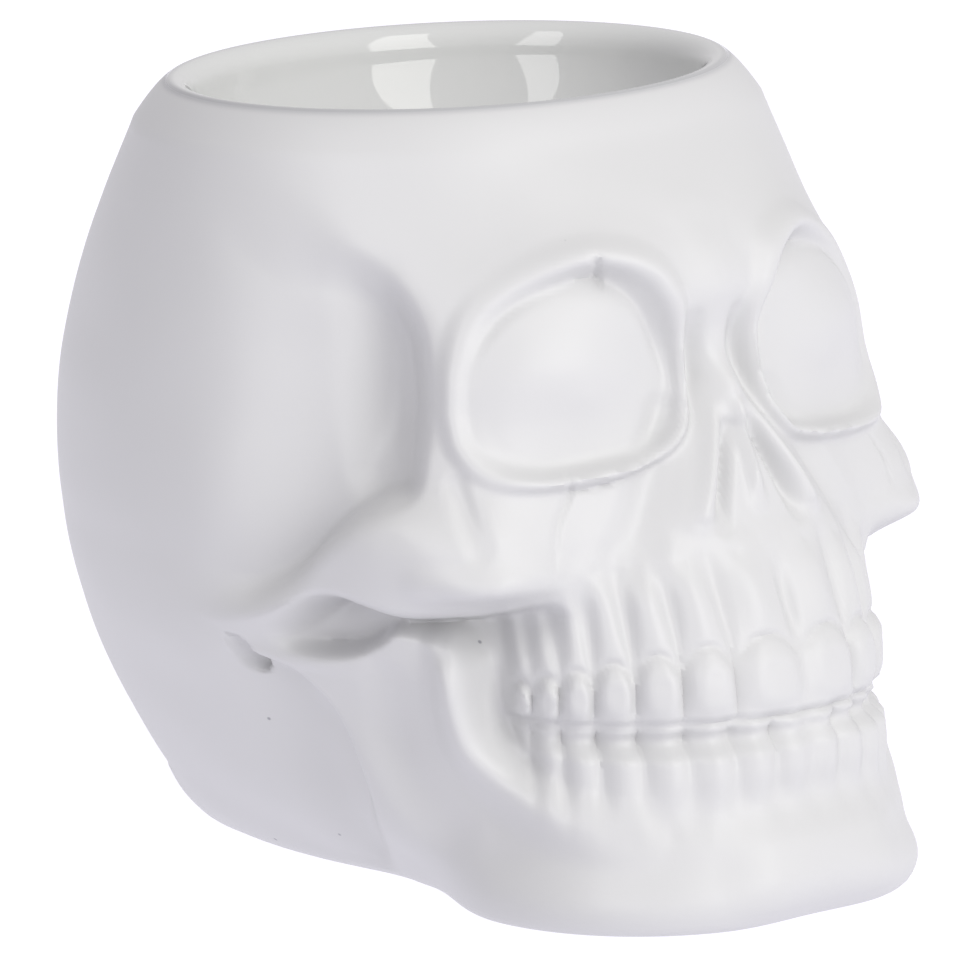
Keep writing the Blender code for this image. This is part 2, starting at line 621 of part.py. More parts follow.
def make_burner():
    """The one ceramic piece."""
    rings, dish_bottom = head_rings()
    depths = np.array(rings)[:, :, 1]
    back = -0.5 * (depths.min() + depths.max())
    mesh = shift(closed_mesh("skull_burner", rings, (0.0, 0.0, -FOOT_TRIM), dish_bottom), back)
    mesh.materials.append(glazed_ceramic())
    burner = place("skull_burner", mesh)
    thinned = burner.modifiers.new("thin_mesh", "DECIMATE")
    thinned.ratio = KEEP_SHARE
    thinned.use_symmetry = True
    thinned.symmetry_axis = "X"
    cut(burner, foot_cutter(), "ground_foot")
    cut(burner, chamber_cutter(back), "chamber")
    cut(burner, door_cutter(back), "door")
    mesh.shade_smooth()
    mesh.set_sharp_from_angle(angle=math.radians(50.0))
    return burner


def main():
    """Clear the scene and model the burner."""
    for item in list(bpy.data.objects):
        bpy.data.objects.remove(item, do_unlink=True)
    make_burner()


if __name__ == "__main__":
    main()
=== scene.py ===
"""White ceramic oil burner in the form of a skull, with a glossy oval dish on top, in a pale studio.

The head is a flat grid rolled round an upright axis. Its rows follow level sections up the head, over
the lip and down into the dish, and the face is carved into it with rounded strokes, soft-edged patches
and pillow-shaped teeth, each placed by its bearing from straight ahead (degrees) and its height.

Metres, +Z up. The face looks along -Y, and the skull's right side is at -X.
"""

import math

import bmesh
import bpy
import numpy as np
from mathutils import Matrix, Quaternion, Vector


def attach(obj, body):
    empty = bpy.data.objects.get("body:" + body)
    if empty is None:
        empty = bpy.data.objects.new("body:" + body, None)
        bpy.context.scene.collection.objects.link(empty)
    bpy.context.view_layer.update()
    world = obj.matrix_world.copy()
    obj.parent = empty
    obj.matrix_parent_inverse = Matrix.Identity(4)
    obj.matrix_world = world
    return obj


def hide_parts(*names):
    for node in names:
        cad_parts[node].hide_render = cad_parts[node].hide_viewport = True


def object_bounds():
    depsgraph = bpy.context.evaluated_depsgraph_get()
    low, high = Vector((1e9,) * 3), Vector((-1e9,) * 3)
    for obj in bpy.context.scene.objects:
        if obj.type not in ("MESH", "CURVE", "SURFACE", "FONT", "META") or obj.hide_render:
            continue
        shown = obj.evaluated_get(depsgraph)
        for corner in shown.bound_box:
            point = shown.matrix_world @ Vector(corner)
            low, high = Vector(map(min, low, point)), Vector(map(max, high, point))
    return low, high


bl_info = {
    "name": "Skull oil burner",
    "version": (1, 0, 0),
    "blender": (4, 5, 0),
    "location": "3D View > Sidebar > Oil burner",
    "description": "Models a ceramic skull oil burner with a glossy dish",
    "category": "Add Mesh",
}

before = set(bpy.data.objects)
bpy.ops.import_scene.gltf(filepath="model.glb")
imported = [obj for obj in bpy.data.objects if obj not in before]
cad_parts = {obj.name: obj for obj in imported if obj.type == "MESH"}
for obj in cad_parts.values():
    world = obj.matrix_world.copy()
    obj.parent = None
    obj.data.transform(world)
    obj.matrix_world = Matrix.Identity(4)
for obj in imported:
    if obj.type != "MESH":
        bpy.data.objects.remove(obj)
CAD_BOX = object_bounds()
CAD_SIZE = np.array(CAD_BOX[1]) - np.array(CAD_BOX[0])

MM = 0.001

# Outer size of the head
WIDTH, DEPTH, HEIGHT = (float(side) for side in CAD_SIZE)

# Oil dish, measured to the crest of its lip
DISH_WIDTH = 78.0 * MM
DISH_LENGTH = 67.0 * MM
DISH_BACK = 9.0 * MM
DISH_DEPTH = 19.0 * MM
LIP_OUT = 5.0 * MM
LIP_DROP = 5.4 * MM
LIP_CURVE = 0.72
LIP_IN = 3.0 * MM

# Size of the head that the tables below draw, and metres for each of their millimetres
DRAWN_WIDTH = 99.7 * MM
DRAWN_DEPTH = 130.4 * MM
DRAWN_HEIGHT = 105.0 * MM
STRETCH = MM * np.array((WIDTH / DRAWN_WIDTH, DEPTH / DRAWN_DEPTH, HEIGHT / DRAWN_HEIGHT))

# How fast a stroke's depth follows the nearest part of its line, and the furthest that a patch reaches
NEARNESS = 0.3
NEARNESS_POWER = 3
PATCH_REACH = 6.0

# Lifts of the smaller forms, in table millimetres, less than nothing where they are sunk
NECK_STEP = -3.3
JAW_TOP_RIDGE = 0.8
JAW_SWELL = 1.0
JAW_FRONT_RIDGE = 3.0
JAW_HOLLOW = -1.7
CHIN_LIFT = 1.4
CHIN_HOLLOW = -1.0
EYE_FLOOR = -1.0
EYE_BULGE = 1.0
EYE_SIDE_HOLLOW = -0.9
FOREHEAD_RIDGE = 0.9
BRIDGE_LIFT = 1.8
BRIDGE_SIDE = -1.4
FLANGE_RIDGE = 0.9
SMILE_FOLD = -1.7
GUM_LINE = -0.45
BITE_BACK = -1.3
BITE_LINE = -0.9
BROW_NOTCH = -0.7
BROW_BAR = -0.5
RIGHT_CRACK = -0.5
FRAME_CRACK = -0.35
LEFT_CRACK = -0.4

# Bearings of the section radii, from straight ahead round to the back
BEARINGS = (0, 15, 30, 45, 60, 75, 90, 105, 120, 135, 150, 165, 180)

# Section radii in millimetres at those bearings, by height in millimetres
SECTIONS = {
    0: (58.0, 59.0, 54.3, 43.9, 28.4, 23.0, 21.3, 22.0, 24.5, 29.0, 36.5, 47.8, 53.5),
    3: (60.2, 60.5, 55.6, 45.2, 31.5, 26.0, 24.5, 25.0, 27.5, 33.0, 41.3, 51.3, 56.5),
    10: (60.5, 59.0, 53.0, 43.5, 37.0, 33.0, 30.5, 31.5, 35.0, 40.0, 47.5, 55.2, 59.5),
    18: (58.5, 57.0, 51.0, 43.5, 40.0, 37.0, 35.0, 37.0, 41.0, 46.0, 52.7, 59.3, 62.5),
    26: (58.0, 56.0, 50.5, 45.0, 41.5, 39.5, 39.5, 42.0, 45.5, 50.5, 56.7, 62.2, 64.7),
    34: (56.5, 55.0, 50.0, 46.0, 44.0, 43.0, 44.0, 47.0, 50.0, 54.2, 59.3, 64.2, 66.7),
    42: (54.0, 52.5, 48.4, 46.4, 46.8, 45.5, 47.0, 49.5, 52.5, 56.7, 60.9, 65.2, 67.7),
    46: (52.4, 51.0, 48.7, 52.3, 49.0, 46.0, 47.8, 50.2, 53.3, 57.3, 61.4, 65.6, 68.1),
    50: (50.5, 49.5, 48.5, 53.0, 50.0, 46.5, 48.5, 51.0, 54.2, 58.0, 61.6, 65.9, 68.3),
    58: (46.5, 46.0, 46.5, 50.0, 48.0, 46.5, 49.0, 51.7, 54.8, 58.3, 61.6, 65.4, 67.8),
    66: (42.5, 43.0, 45.0, 47.8, 46.0, 46.0, 48.5, 51.5, 54.7, 57.8, 60.8, 64.3, 66.2),
    74: (40.5, 42.0, 45.3, 46.8, 45.0, 45.5, 48.0, 51.0, 53.5, 56.1, 59.1, 62.0, 63.5),
    82: (42.0, 42.8, 43.5, 43.8, 43.5, 45.0, 47.3, 49.7, 52.1, 54.1, 56.5, 59.0, 60.0),
    90: (38.0, 38.3, 38.8, 39.0, 40.5, 43.0, 45.6, 48.1, 50.0, 51.5, 52.9, 54.4, 55.0),
}


def smooth(t):
    """Ease from 0 to 1."""
    t = np.clip(t, 0.0, 1.0)
    return t * t * (3.0 - 2.0 * t)


def spline(knots, rows, places):
    """Smooth curve through the rows at the knots, read at the places."""
    slopes = np.gradient(rows, knots, axis=0)
    i = np.clip(np.searchsorted(knots, places, side="right") - 1, 0, len(knots) - 2)
    span = (knots[i + 1] - knots[i])[:, None]
    t = (places[:, None] - knots[i][:, None]) / span
    return (
        (1 + 2 * t) * (1 - t) ** 2 * rows[i]
        + t * (1 - t) ** 2 * span * slopes[i]
        + t * t * (3 - 2 * t) * rows[i + 1]
        + t * t * (t - 1) * span * slopes[i + 1]
    )


def mirrored(radii):
    """The radii with two more on each side, as the other half of the head repeats them."""
    return np.array(radii[2:0:-1] + radii + radii[-2:-4:-1], float)


def rim_radius(bearing, out):
    """Radius, in table millimetres, of the dish's oval crest moved outward by a distance in metres."""
    turn = np.radians(bearing)
    half_width = (0.5 * DISH_WIDTH + out) / STRETCH[0]
    half_length = (0.5 * DISH_LENGTH + out) / STRETCH[1]
    back = DISH_BACK / STRETCH[1]
    a = (np.cos(turn) / half_length) ** 2 + (np.sin(turn) / half_width) ** 2
    b = 2.0 * np.cos(turn) * back / half_length**2
    c = (back / half_length) ** 2 - 1.0
    return (np.sqrt(b * b - 4.0 * a * c) - b) / (2.0 * a)


SHOULDER = (HEIGHT - LIP_DROP) / STRETCH[2]
SECTIONS[SHOULDER] = tuple(rim_radius(np.array(BEARINGS, float), LIP_OUT))
SECTION_HEIGHTS = np.array(sorted(SECTIONS), float)
SECTION_RADII = np.array([mirrored(SECTIONS[height]) for height in sorted(SECTIONS)])
SECTION_BEARINGS = np.array((-30, -15) + BEARINGS + (195, 210), float)


def head_radius(bearing, height):
    """Radius of the plain head at arrays of bearings in degrees and heights in millimetres."""
    bearing = np.abs(bearing)
    columns = spline(SECTION_BEARINGS, SECTION_RADII.T, bearing)
    slopes = np.gradient(columns, SECTION_HEIGHTS, axis=1)
    i = np.clip(np.searchsorted(SECTION_HEIGHTS, height, side="right") - 1, 0, len(SECTION_HEIGHTS) - 2)
    n = np.arange(len(height))
    span = SECTION_HEIGHTS[i + 1] - SECTION_HEIGHTS[i]
    t = (height - SECTION_HEIGHTS[i]) / span
    return (
        (1 + 2 * t) * (1 - t) ** 2 * columns[n, i]
        + t * (1 - t) ** 2 * span * slopes[n, i]
        + t * t * (3 - 2 * t) * columns[n, i + 1]
        + t * t * (t - 1) * span * slopes[n, i + 1]
    )


def head_point(bearing, height):
    """Points of the plain head, in millimetres, on the skull's right side for bearings over 0."""
    radius = head_radius(bearing, height)
    turn = np.radians(bearing)
    return np.stack([-radius * np.sin(turn), -radius * np.cos(turn), height], axis=-1)


def curve(rows, closed=False):
    """Points every millimetre or so of a smooth curve through rows of bearing, height, lift and width."""
    rows = np.array(rows, float)
    if closed:
        rows = np.vstack([rows[-2:], rows, rows[:3]])
    places = head_point(rows[:, 0], rows[:, 1])
    steps = np.maximum(np.linalg.norm(np.diff(places, axis=0), axis=1), 1e-6)
    knots = np.concatenate([[0.0], np.cumsum(np.sqrt(steps))])
    start, end = (knots[2], knots[-3]) if closed else (0.0, knots[-1])
    return spline(knots, rows, np.linspace(start, end, max(6, int(steps.sum()))))


class Carving:
    """Lift of the surface over the plain head, built up stroke by stroke and the same on both sides."""

    def __init__(self, bearing, height):
        self.side = bearing
        self.bearing = np.abs(bearing)
        self.height = height
        self.lift = np.zeros(len(bearing))
        self.points = head_point(self.bearing, height)

    def reach(self, line, width):
        """Which points may lie within a width of the line."""
        low = line.min(axis=0) - width
        high = line.max(axis=0) + width
        return np.nonzero(((self.points > low) & (self.points < high)).all(axis=1))[0]

    def measure(self, near, line, lift, width):
        """Least distance to the line as a share of its width there, and the lift averaged by nearness."""
        points = self.points[near]
        least = np.full(len(near), np.inf)
        weight = np.zeros(len(near))
        total = np.zeros(len(near))
        for k in range(len(line) - 1):
            along = line[k + 1] - line[k]
            t = np.clip((points - line[k]) @ along / max(along @ along, 1e-9), 0.0, 1.0)
            gap = np.linalg.norm(points - line[k] - t[:, None] * along, axis=1)
            least = np.minimum(least, gap / (width[k] + t * (width[k + 1] - width[k])))
            share = 1.0 / (gap + NEARNESS) ** NEARNESS_POWER
            weight += share
            total += share * (lift[k] + t * (lift[k + 1] - lift[k]))
        return least, total / weight

    def stroke(self, rows, depth=1.0):
        """A rounded ridge or groove along rows of bearing, height, share of depth and half width."""
        rows = curve(rows)
        line = head_point(rows[:, 0], rows[:, 1])
        near = self.reach(line, rows[:, 3].max())
        least, lift = self.measure(near, line, rows[:, 2], rows[:, 3])
        self.lift[near] += depth * lift * smooth(1.0 - least)

    def patch(self, rows, depth=1.0):
        """A raised or sunk area inside a closed curve, with an edge as soft as the row's width."""
        rows = curve(rows, closed=True)
        rows = np.vstack([rows, rows[:1]])
        line = head_point(rows[:, 0], rows[:, 1])
        near = self.reach(line, rows[:, 3].max() + PATCH_REACH)
        least, lift = self.measure(near, line, rows[:, 2], rows[:, 3])
        least[self.inside(near, rows)] *= -1.0
        self.lift[near] += depth * lift * smooth(0.5 - 0.5 * least)

    def inside(self, near, rows):
        """Which of the near points lie inside the closed curve, in bearing and height."""
        x = self.bearing[near]
        y = self.height[near]
        within = np.zeros(len(near), bool)
        for (x1, y1), (x2, y2) in zip(rows[:-1, :2], rows[1:, :2]):
            if y1 != y2:
                crosses = ((y1 > y) != (y2 > y)) & (x < (x2 - x1) * (y - y1) / (y2 - y1) + x1)
                within ^= crosses
        return within

    def pillow(self, bearing, height, half_bearing, half_height, lift, flat=0.45, power=4.0):
        """A raised block with rounded sides, such as the crown of a tooth."""
        x = np.abs((self.bearing - bearing) / half_bearing)
        y = np.abs((self.height - height) / half_height)
        share = (x**power + y**power) ** (1.0 / power)
        self.lift += lift * smooth((1.0 - share) / flat)


def carve_temple(carving, sizes):
    """The hollow behind the eye's frame, deepest beside it and fading up the side of the head."""
    carving.patch(
        (
            (94, 91, 0.1, 8), (82, 89.5, 0.3, 7), (71, 86, 0.6, 4.5), (62, 82, 0.9, 3.4),
            (57.5, 77, 1.0, 3), (56, 70, 1.0, 2.6), (56.3, 63, 1.0, 2.4), (57, 58, 1, 2),
            (62, 56.2, 1, 1.8), (67, 53.9, 1, 1.7), (72, 50.8, 0.9, 1.7), (77, 47.2, 0.8, 1.8),
            (83, 44, 0.6, 2.2), (90, 42, 0.4, 3), (98, 44, 0.2, 7), (97, 56, 0.1, 14),
            (96, 72, 0.1, 16), (98, 84, 0.1, 14),
        ),
        -sizes.temple_hollow / MM,
    )
    carving.stroke(
        ((66, 83, 0.1, 7), (63, 76, 0.4, 9), (62.5, 67, 0.5, 9), (64, 60, 0.3, 7)),
        -sizes.temple_hollow / MM,
    )


def carve_cheek(carving, sizes):
    """The cheekbone with its corner, the arch running back from it, and the hollow below."""
    carving.patch(
        (
            (46, 53, 0.5, 7), (57, 56, 1.0, 3), (64, 54.5, 1.0, 2.4), (68.5, 52, 1.0, 2.4),
            (73, 48.8, 1.0, 2.4), (79, 44.4, 0.9, 2.6), (86, 41.4, 0.7, 2.8), (95, 39.5, 0.4, 3.4),
            (101, 38, 0.1, 5), (95, 36.6, 0.3, 3), (87, 38, 0.7, 2.2), (80, 40.2, 1, 1.8),
            (75, 42.6, 1, 1.7), (70, 43.4, 1, 1.7), (65, 42.6, 1, 1.7), (60, 41.5, 1, 1.6),
            (52, 41.4, 0.9, 1.6), (46, 41.8, 0.7, 2), (41, 44, 0.4, 3.4),
        ),
        sizes.arch_lift / MM,
    )
    carving.stroke(((38, 47, 0.3, 5), (45, 45.6, 0.6, 5), (53, 45.5, 0.2, 5)), sizes.arch_lift / MM)
    carving.patch(
        (
            (33.5, 41.2, 0.3, 1.6), (36, 42.5, 0.45, 1.4), (40, 42, 0.7, 1.4), (45, 40.8, 0.9, 1.3),
            (52, 40.4, 0.9, 1.2), (60, 40.6, 0.6, 1.2), (65, 41.6, 0.9, 1.2), (70, 42.6, 1, 1.3),
            (75, 41.8, 1, 1.4), (80, 39.2, 0.7, 1.6), (85, 36, 0.2, 1.4), (78, 35, 0.7, 1.2),
            (70, 35.6, 0.8, 1.2), (65, 37.3, 0.9, 1.2), (61.5, 38.9, 0.7, 1.1), (56, 38.6, 0.6, 1.2),
            (51, 38.2, 0.8, 1.6), (47.3, 35, 0.7, 2.4), (46.3, 30, 0.7, 2.8), (44.3, 25.5, 0.7, 3.2),
            (40.5, 22, 0.5, 4), (37.5, 21.5, 0.4, 4.5), (38.5, 25, 0.45, 5), (38.5, 30, 0.45, 5),
            (37, 35, 0.4, 4), (34, 38.5, 0.3, 3),
        ),
        -sizes.cheek_hollow / MM,
    )
    carving.patch(
        ((93.8, 35.8, 1, 0.8), (91.4, 32.8, 1, 0.8), (93.6, 30.8, 1, 0.8), (95.4, 32.6, 1, 0.8)),
        -0.5 * sizes.cheek_hollow / MM,
    )


def carve_jaw(carving, sizes):
    """The jaw's upright with its ridge sweeping forward, the step behind it, and the chin."""
    carving.patch(
        (
            (93, 33.2, 0.4, 1.2), (88, 32.4, 0.9, 1.4), (84, 31, 1.1, 1.5), (79.5, 27.6, 1.1, 1.7),
            (76.6, 23.6, 1.1, 1.9), (75, 19, 1.1, 2.2), (74.3, 14, 1, 2.5), (77.5, 8, 0.8, 3),
            (86, 3, 0.5, 3), (104, 4, 0.1, 12), (112, 16, 0, 16), (108, 27, 0, 12), (100, 31.5, 0.2, 4),
        ),
        NECK_STEP,
    )
    carving.stroke(
        ((91, 34, 0.2, 1.4), (84, 33.2, 0.6, 1.8), (76, 33.2, 0.8, 2.2), (69, 33.8, 0.4, 2.6)),
        JAW_TOP_RIDGE,
    )
    carving.stroke(((82, 28.5, 0.4, 4), (74, 23, 0.5, 5), (70, 17, 0.6, 6), (67, 9, 0.4, 6)), JAW_SWELL)
    carving.stroke(
        (
            (53, 37.5, 0.3, 3.4), (52.0, 33, 1.1, 4), (51.2, 28, 1.25, 4.4), (49.4, 23.4, 1.2, 4.8),
            (45, 19.6, 1, 5), (38.5, 16.2, 0.9, 5.2), (32, 14, 0.5, 5.5), (26, 12.5, 0.2, 6),
        ),
        JAW_FRONT_RIDGE,
    )
    carving.stroke(((64, 31, 0.5, 5), (62.5, 22, 0.9, 6.5), (55, 12.5, 0.7, 7)), JAW_HOLLOW)
    carving.stroke(((-8, 7, 1, 9), (0, 7.5, 1, 9), (8, 7, 1, 9)), CHIN_LIFT)
    carving.stroke(((-6, 16, 1, 5), (8, 16, 1, 5), (20, 15.5, 0.6, 5)), CHIN_HOLLOW)


def carve_eye(carving, sizes):
    """The eye's raised frame, its nearly flush floor, and the dark recess under the brow."""
    carving.stroke(
        ((44, 84, 0.1, 5), (34, 87, 0.4, 6), (24, 88.5, 0.7, 6), (14, 87, 0.6, 6)),
        0.5 * sizes.brow_lift / MM,
    )
    carving.stroke(
        (
            (50.5, 68, 0.6, 2.6), (50, 74, 0.5, 2.8), (47, 80, 0.35, 3.2), (38, 84.6, 0.5, 3.6),
            (24, 87.0, 0.9, 3.8), (14.5, 84.8, 0.9, 3.6), (9.8, 78.5, 0.7, 2.6), (8.8, 71, 1, 1.7),
            (10.3, 64.8, 1, 1.7), (16, 60.8, 1, 1.7), (27, 59.3, 1, 1.7), (37, 59.0, 0.9, 1.8),
            (44.5, 60.4, 0.5, 2.4), (49, 63.8, 0.6, 2.4), (50.5, 68, 0.6, 2.6),
        ),
        sizes.brow_lift / MM,
    )
    carving.patch(
        (
            (46.5, 74, 0.1, 4), (45, 78, 0.5, 4), (41, 81.3, 0.8, 3.6), (33, 84, 1.0, 3.2),
            (24.5, 84.8, 1.3, 2.8), (17.5, 82, 1.3, 2.8), (12.8, 76, 0.9, 2.6), (11.6, 70, 0.3, 2.5),
            (14, 72, 0.3, 5), (18, 77, 0.8, 7), (25, 80.5, 0.9, 9), (34, 81, 0.7, 9), (41, 79, 0.3, 7),
        ),
        -0.85 * sizes.eye_depth / MM,
    )
    carving.patch(
        (
            (47, 71, 0.3, 3), (46, 76, 0.1, 4), (30, 80, 0.1, 6), (15, 76, 0.2, 5),
            (11.4, 70, 0.7, 1.3), (12.6, 65, 1, 1.3), (18, 61.9, 1, 1.3), (28, 60.6, 1, 1.3),
            (37, 60.4, 1, 1.4), (43.5, 62, 0.8, 1.8), (46.6, 66, 0.5, 2.4),
        ),
        EYE_FLOOR,
    )
    carving.pillow(28, 69, 20, 11.0, EYE_BULGE, flat=1.3, power=2.0)
    carving.stroke(((49.5, 59, 0.6, 2.2), (48, 55.5, 1, 2.6), (46, 51.5, 0.6, 2.6)), EYE_SIDE_HOLLOW)


def carve_nose(carving, sizes):
    """The nose bridge, widening to the flanges, with two slots either side of the septum."""
    carving.stroke(((0, 90, 0.3, 7), (0, 85, 1, 7), (0, 80, 0.7, 6), (0, 76, 0.3, 5)), FOREHEAD_RIDGE)
    carving.stroke(
        ((0, 79, 0.1, 4), (0, 75, 0.4, 4.2), (0, 71, 0.8, 4), (0, 68, 1.0, 3.4), (0, 65.5, 0.6, 2.8)),
        BRIDGE_LIFT,
    )
    carving.stroke(
        ((5.4, 77, 0.3, 2.4), (5.8, 72.5, 1, 2.8), (6.6, 68.5, 0.9, 2.8), (8, 65.5, 0.2, 2.4)),
        BRIDGE_SIDE,
    )
    carving.patch(
        (
            (0, 71, 0.6, 2.4), (3.5, 69, 0.8, 2.2), (6, 65, 1, 2), (9.4, 60, 1, 2.2),
            (12.3, 55.5, 1, 2.4), (13.4, 52, 0.8, 2.6), (11.6, 50, 0.4, 3), (6, 50, 0.2, 3.4),
            (0, 50, 0.2, 3.4), (-7, 50, 0.2, 3.4), (-10, 56, 1, 2.2), (-6, 66, 1, 2.2),
            (-3, 70, 0.8, 2.4),
        ),
        0.85 * sizes.nose_lift / MM,
    )
    carving.patch(
        (
            (0, 64.0, 0.2, 2), (3, 63.2, 0.4, 1.6), (5.4, 60, 0.6, 1.6), (8.2, 55.5, 0.7, 1.9),
            (9, 52.6, 0.5, 2.4), (5, 51.2, 0.4, 2.6), (0, 51, 0.3, 2.6), (-5, 51.2, 0.4, 2.6),
            (-7, 57, 0.6, 1.8), (-3, 63.2, 0.4, 1.6),
        ),
        -0.5 * sizes.nostril_depth / MM,
    )
    carving.stroke(
        (
            (2.8, 63.6, 0.3, 1.4), (4, 60.5, 0.9, 1.6), (5.6, 57, 1, 1.8), (7, 53.6, 0.8, 1.9),
            (7.6, 51.4, 0.2, 2),
        ),
        -0.85 * sizes.nostril_depth / MM,
    )
    carving.stroke(
        ((0, 66, 0.5, 1.2), (0, 60, 0.9, 1.4), (0, 57, 0.9, 1.8), (0, 54, 0.3, 2.4)),
        0.7 * sizes.nostril_depth / MM,
    )
    carving.stroke(
        ((3.6, 66, 0.2, 1.3), (6, 62.6, 0.8, 1.4), (8.8, 57.6, 1, 1.6), (10.8, 53.6, 0.7, 2)),
        FLANGE_RIDGE,
    )
    carving.stroke(
        ((13.5, 66, 0.4, 3.4), (16.5, 60, 0.9, 4.2), (20, 54, 1, 4.8), (24, 47.5, 0.6, 5.5)),
        SMILE_FOLD,
    )


# Bearings of the gaps between the teeth, from the middle of the face, in degrees
UPPER_GAPS = (0, 10.6, 17.9, 24.2, 29.8, 34.4, 38.4, 42)
LOWER_GAPS = (0, 5.6, 11.4, 17.4, 23.4, 29, 34.2, 38.5)
BACK_TEETH = 38

# Heights of the bite, the gum line and the roots' tops in front, and how they fall toward the back
BITE_HEIGHT = 27.8
BITE_FALL = 0.01
GUM_HEIGHT = 37.2
GUM_FALL = 0.0032
ROOT_TOP = 48.5
ROOT_FALL = 0.06


def carve_teeth(carving, sizes):
    """Upper crowns under long root ridges, the bite, and the lower crowns tucked behind it."""
    for near, far in zip(UPPER_GAPS[:-1], UPPER_GAPS[1:]):
        middle = 0.5 * (near + far)
        half = 0.5 * (far - near)
        biting = BITE_HEIGHT - BITE_FALL * middle
        gum = GUM_HEIGHT - GUM_FALL * middle**2
        root = ROOT_TOP - ROOT_FALL * middle
        wide = 2.4 + 0.45 * half
        gap = 0.6 if far < BACK_TEETH else 0.2
        carving.pillow(
            middle, 0.5 * (biting + gum), 1.08 * half, 0.6 * (gum - biting), 0.9 * sizes.tooth_lift / MM,
            flat=0.6, power=2.7,
        )
        carving.stroke(
            (
                (middle, gum - 3, 0.2, wide), (middle, gum + 0.4, 0.8, wide),
                (middle + 0.4, gum + 4, 1.4, wide), (middle + 1, gum + 8, 1.4, wide),
                (middle + 1.6, root, 0.3, wide),
            ),
            sizes.root_lift / MM,
        )
        carving.stroke(
            (
                (far, biting, gap, 0.8), (far, gum - 1, gap, 0.9), (far + 0.3, gum + 3, 0.7, 1.6),
                (far + 0.8, gum + 7, 0.6, 2), (far + 1.4, gum + 10, 0.2, 2.2),
            ),
            -sizes.root_lift / MM,
        )
        carving.stroke(
            (
                (near + 0.2 * half, gum - 1.6, 0.7, 0.8), (near + 0.55 * half, gum + 0.1, 1, 0.8),
                (middle, gum + 0.7, 1, 0.8), (far - 0.55 * half, gum + 0.1, 1, 0.8),
                (far - 0.2 * half, gum - 1.6, 0.7, 0.8),
            ),
            GUM_LINE,
        )
    carving.stroke(
        ((0, 36, 0.2, 1.4), (0, 40, 1.2, 1.8), (0, 44, 1, 2), (0, 47, 0.2, 2)),
        -sizes.root_lift / MM,
    )
    carving.stroke(
        (
            (-6, 25.4, 0.6, 2.4), (4, 25.2, 0.9, 2.4), (14, 25, 1.6, 2.8), (30, 25, 1.7, 2.8),
            (41, 26, 0.9, 3),
        ),
        BITE_BACK,
    )
    carving.stroke(
        ((-4, 27.2, 1, 0.9), (8, 27.3, 1, 0.9), (18, 27.2, 1, 1), (28, 27, 1, 1.1), (41, 27.2, 1, 1.1)),
        BITE_LINE,
    )
    for near, far in zip(LOWER_GAPS[:-1], LOWER_GAPS[1:]):
        middle = 0.5 * (near + far)
        half = 0.5 * (far - near)
        wide = 2.0 + 0.3 * half
        carving.stroke(
            (
                (middle, 26, 0.8, wide), (middle, 23.2, 0.8, wide), (middle, 20, 0.7, wide),
                (middle, 16.5, 0.4, wide), (middle, 13, 0, wide),
            ),
            1.2 * sizes.root_lift / MM,
        )
        carving.stroke(
            ((far, 26, 0.8, 0.8), (far, 23, 0.6, 1), (far, 18, 0.2, 1.6)),
            -sizes.root_lift / MM,
        )


def carve_cracks(carving):
    """The notch in the right brow and the hairline cracks in both cheekbones."""
    right = carving.side > 0
    before = carving.lift.copy()
    carving.stroke(((25.0, 86.6, 1, 0.7), (24.5, 85, 1, 0.8), (23.7, 83.2, 1, 0.9)), BROW_NOTCH)
    carving.stroke(((26.2, 86.7, 0.6, 0.6), (25.0, 86.6, 1, 0.6), (23.8, 86.6, 0.6, 0.6)), BROW_BAR)
    carving.stroke(
        (
            (32.3, 59.4, 1, 0.6), (32, 57.4, 1, 0.7), (34.4, 53.4, 0.9, 0.7), (35, 49.5, 0.6, 0.7),
            (35.6, 45.5, 0.3, 0.7),
        ),
        RIGHT_CRACK,
    )
    carving.stroke(
        ((15.5, 59.6, 0.4, 0.6), (19, 59.2, 1, 0.6), (27.5, 57.7, 1, 0.6), (32, 57.6, 0.7, 0.6)),
        FRAME_CRACK,
    )
    carving.lift[~right] = before[~right]
    before = carving.lift.copy()
    carving.stroke(((38.5, 57, 0.4, 0.6), (39.6, 54, 1, 0.6), (39.0, 50, 0.5, 0.6)), LEFT_CRACK)
    carving.lift[right] = before[right]


def carved_lift(bearing, height, sizes):
    """Lift of the carved face over the plain head, in millimetres."""
    carving = Carving(bearing, height)
    carve_temple(carving, sizes)
    carve_cheek(carving, sizes)
    carve_jaw(carving, sizes)
    carve_eye(carving, sizes)
    carve_nose(carving, sizes)
    carve_teeth(carving, sizes)
    carve_cracks(carving)
    return carving.lift


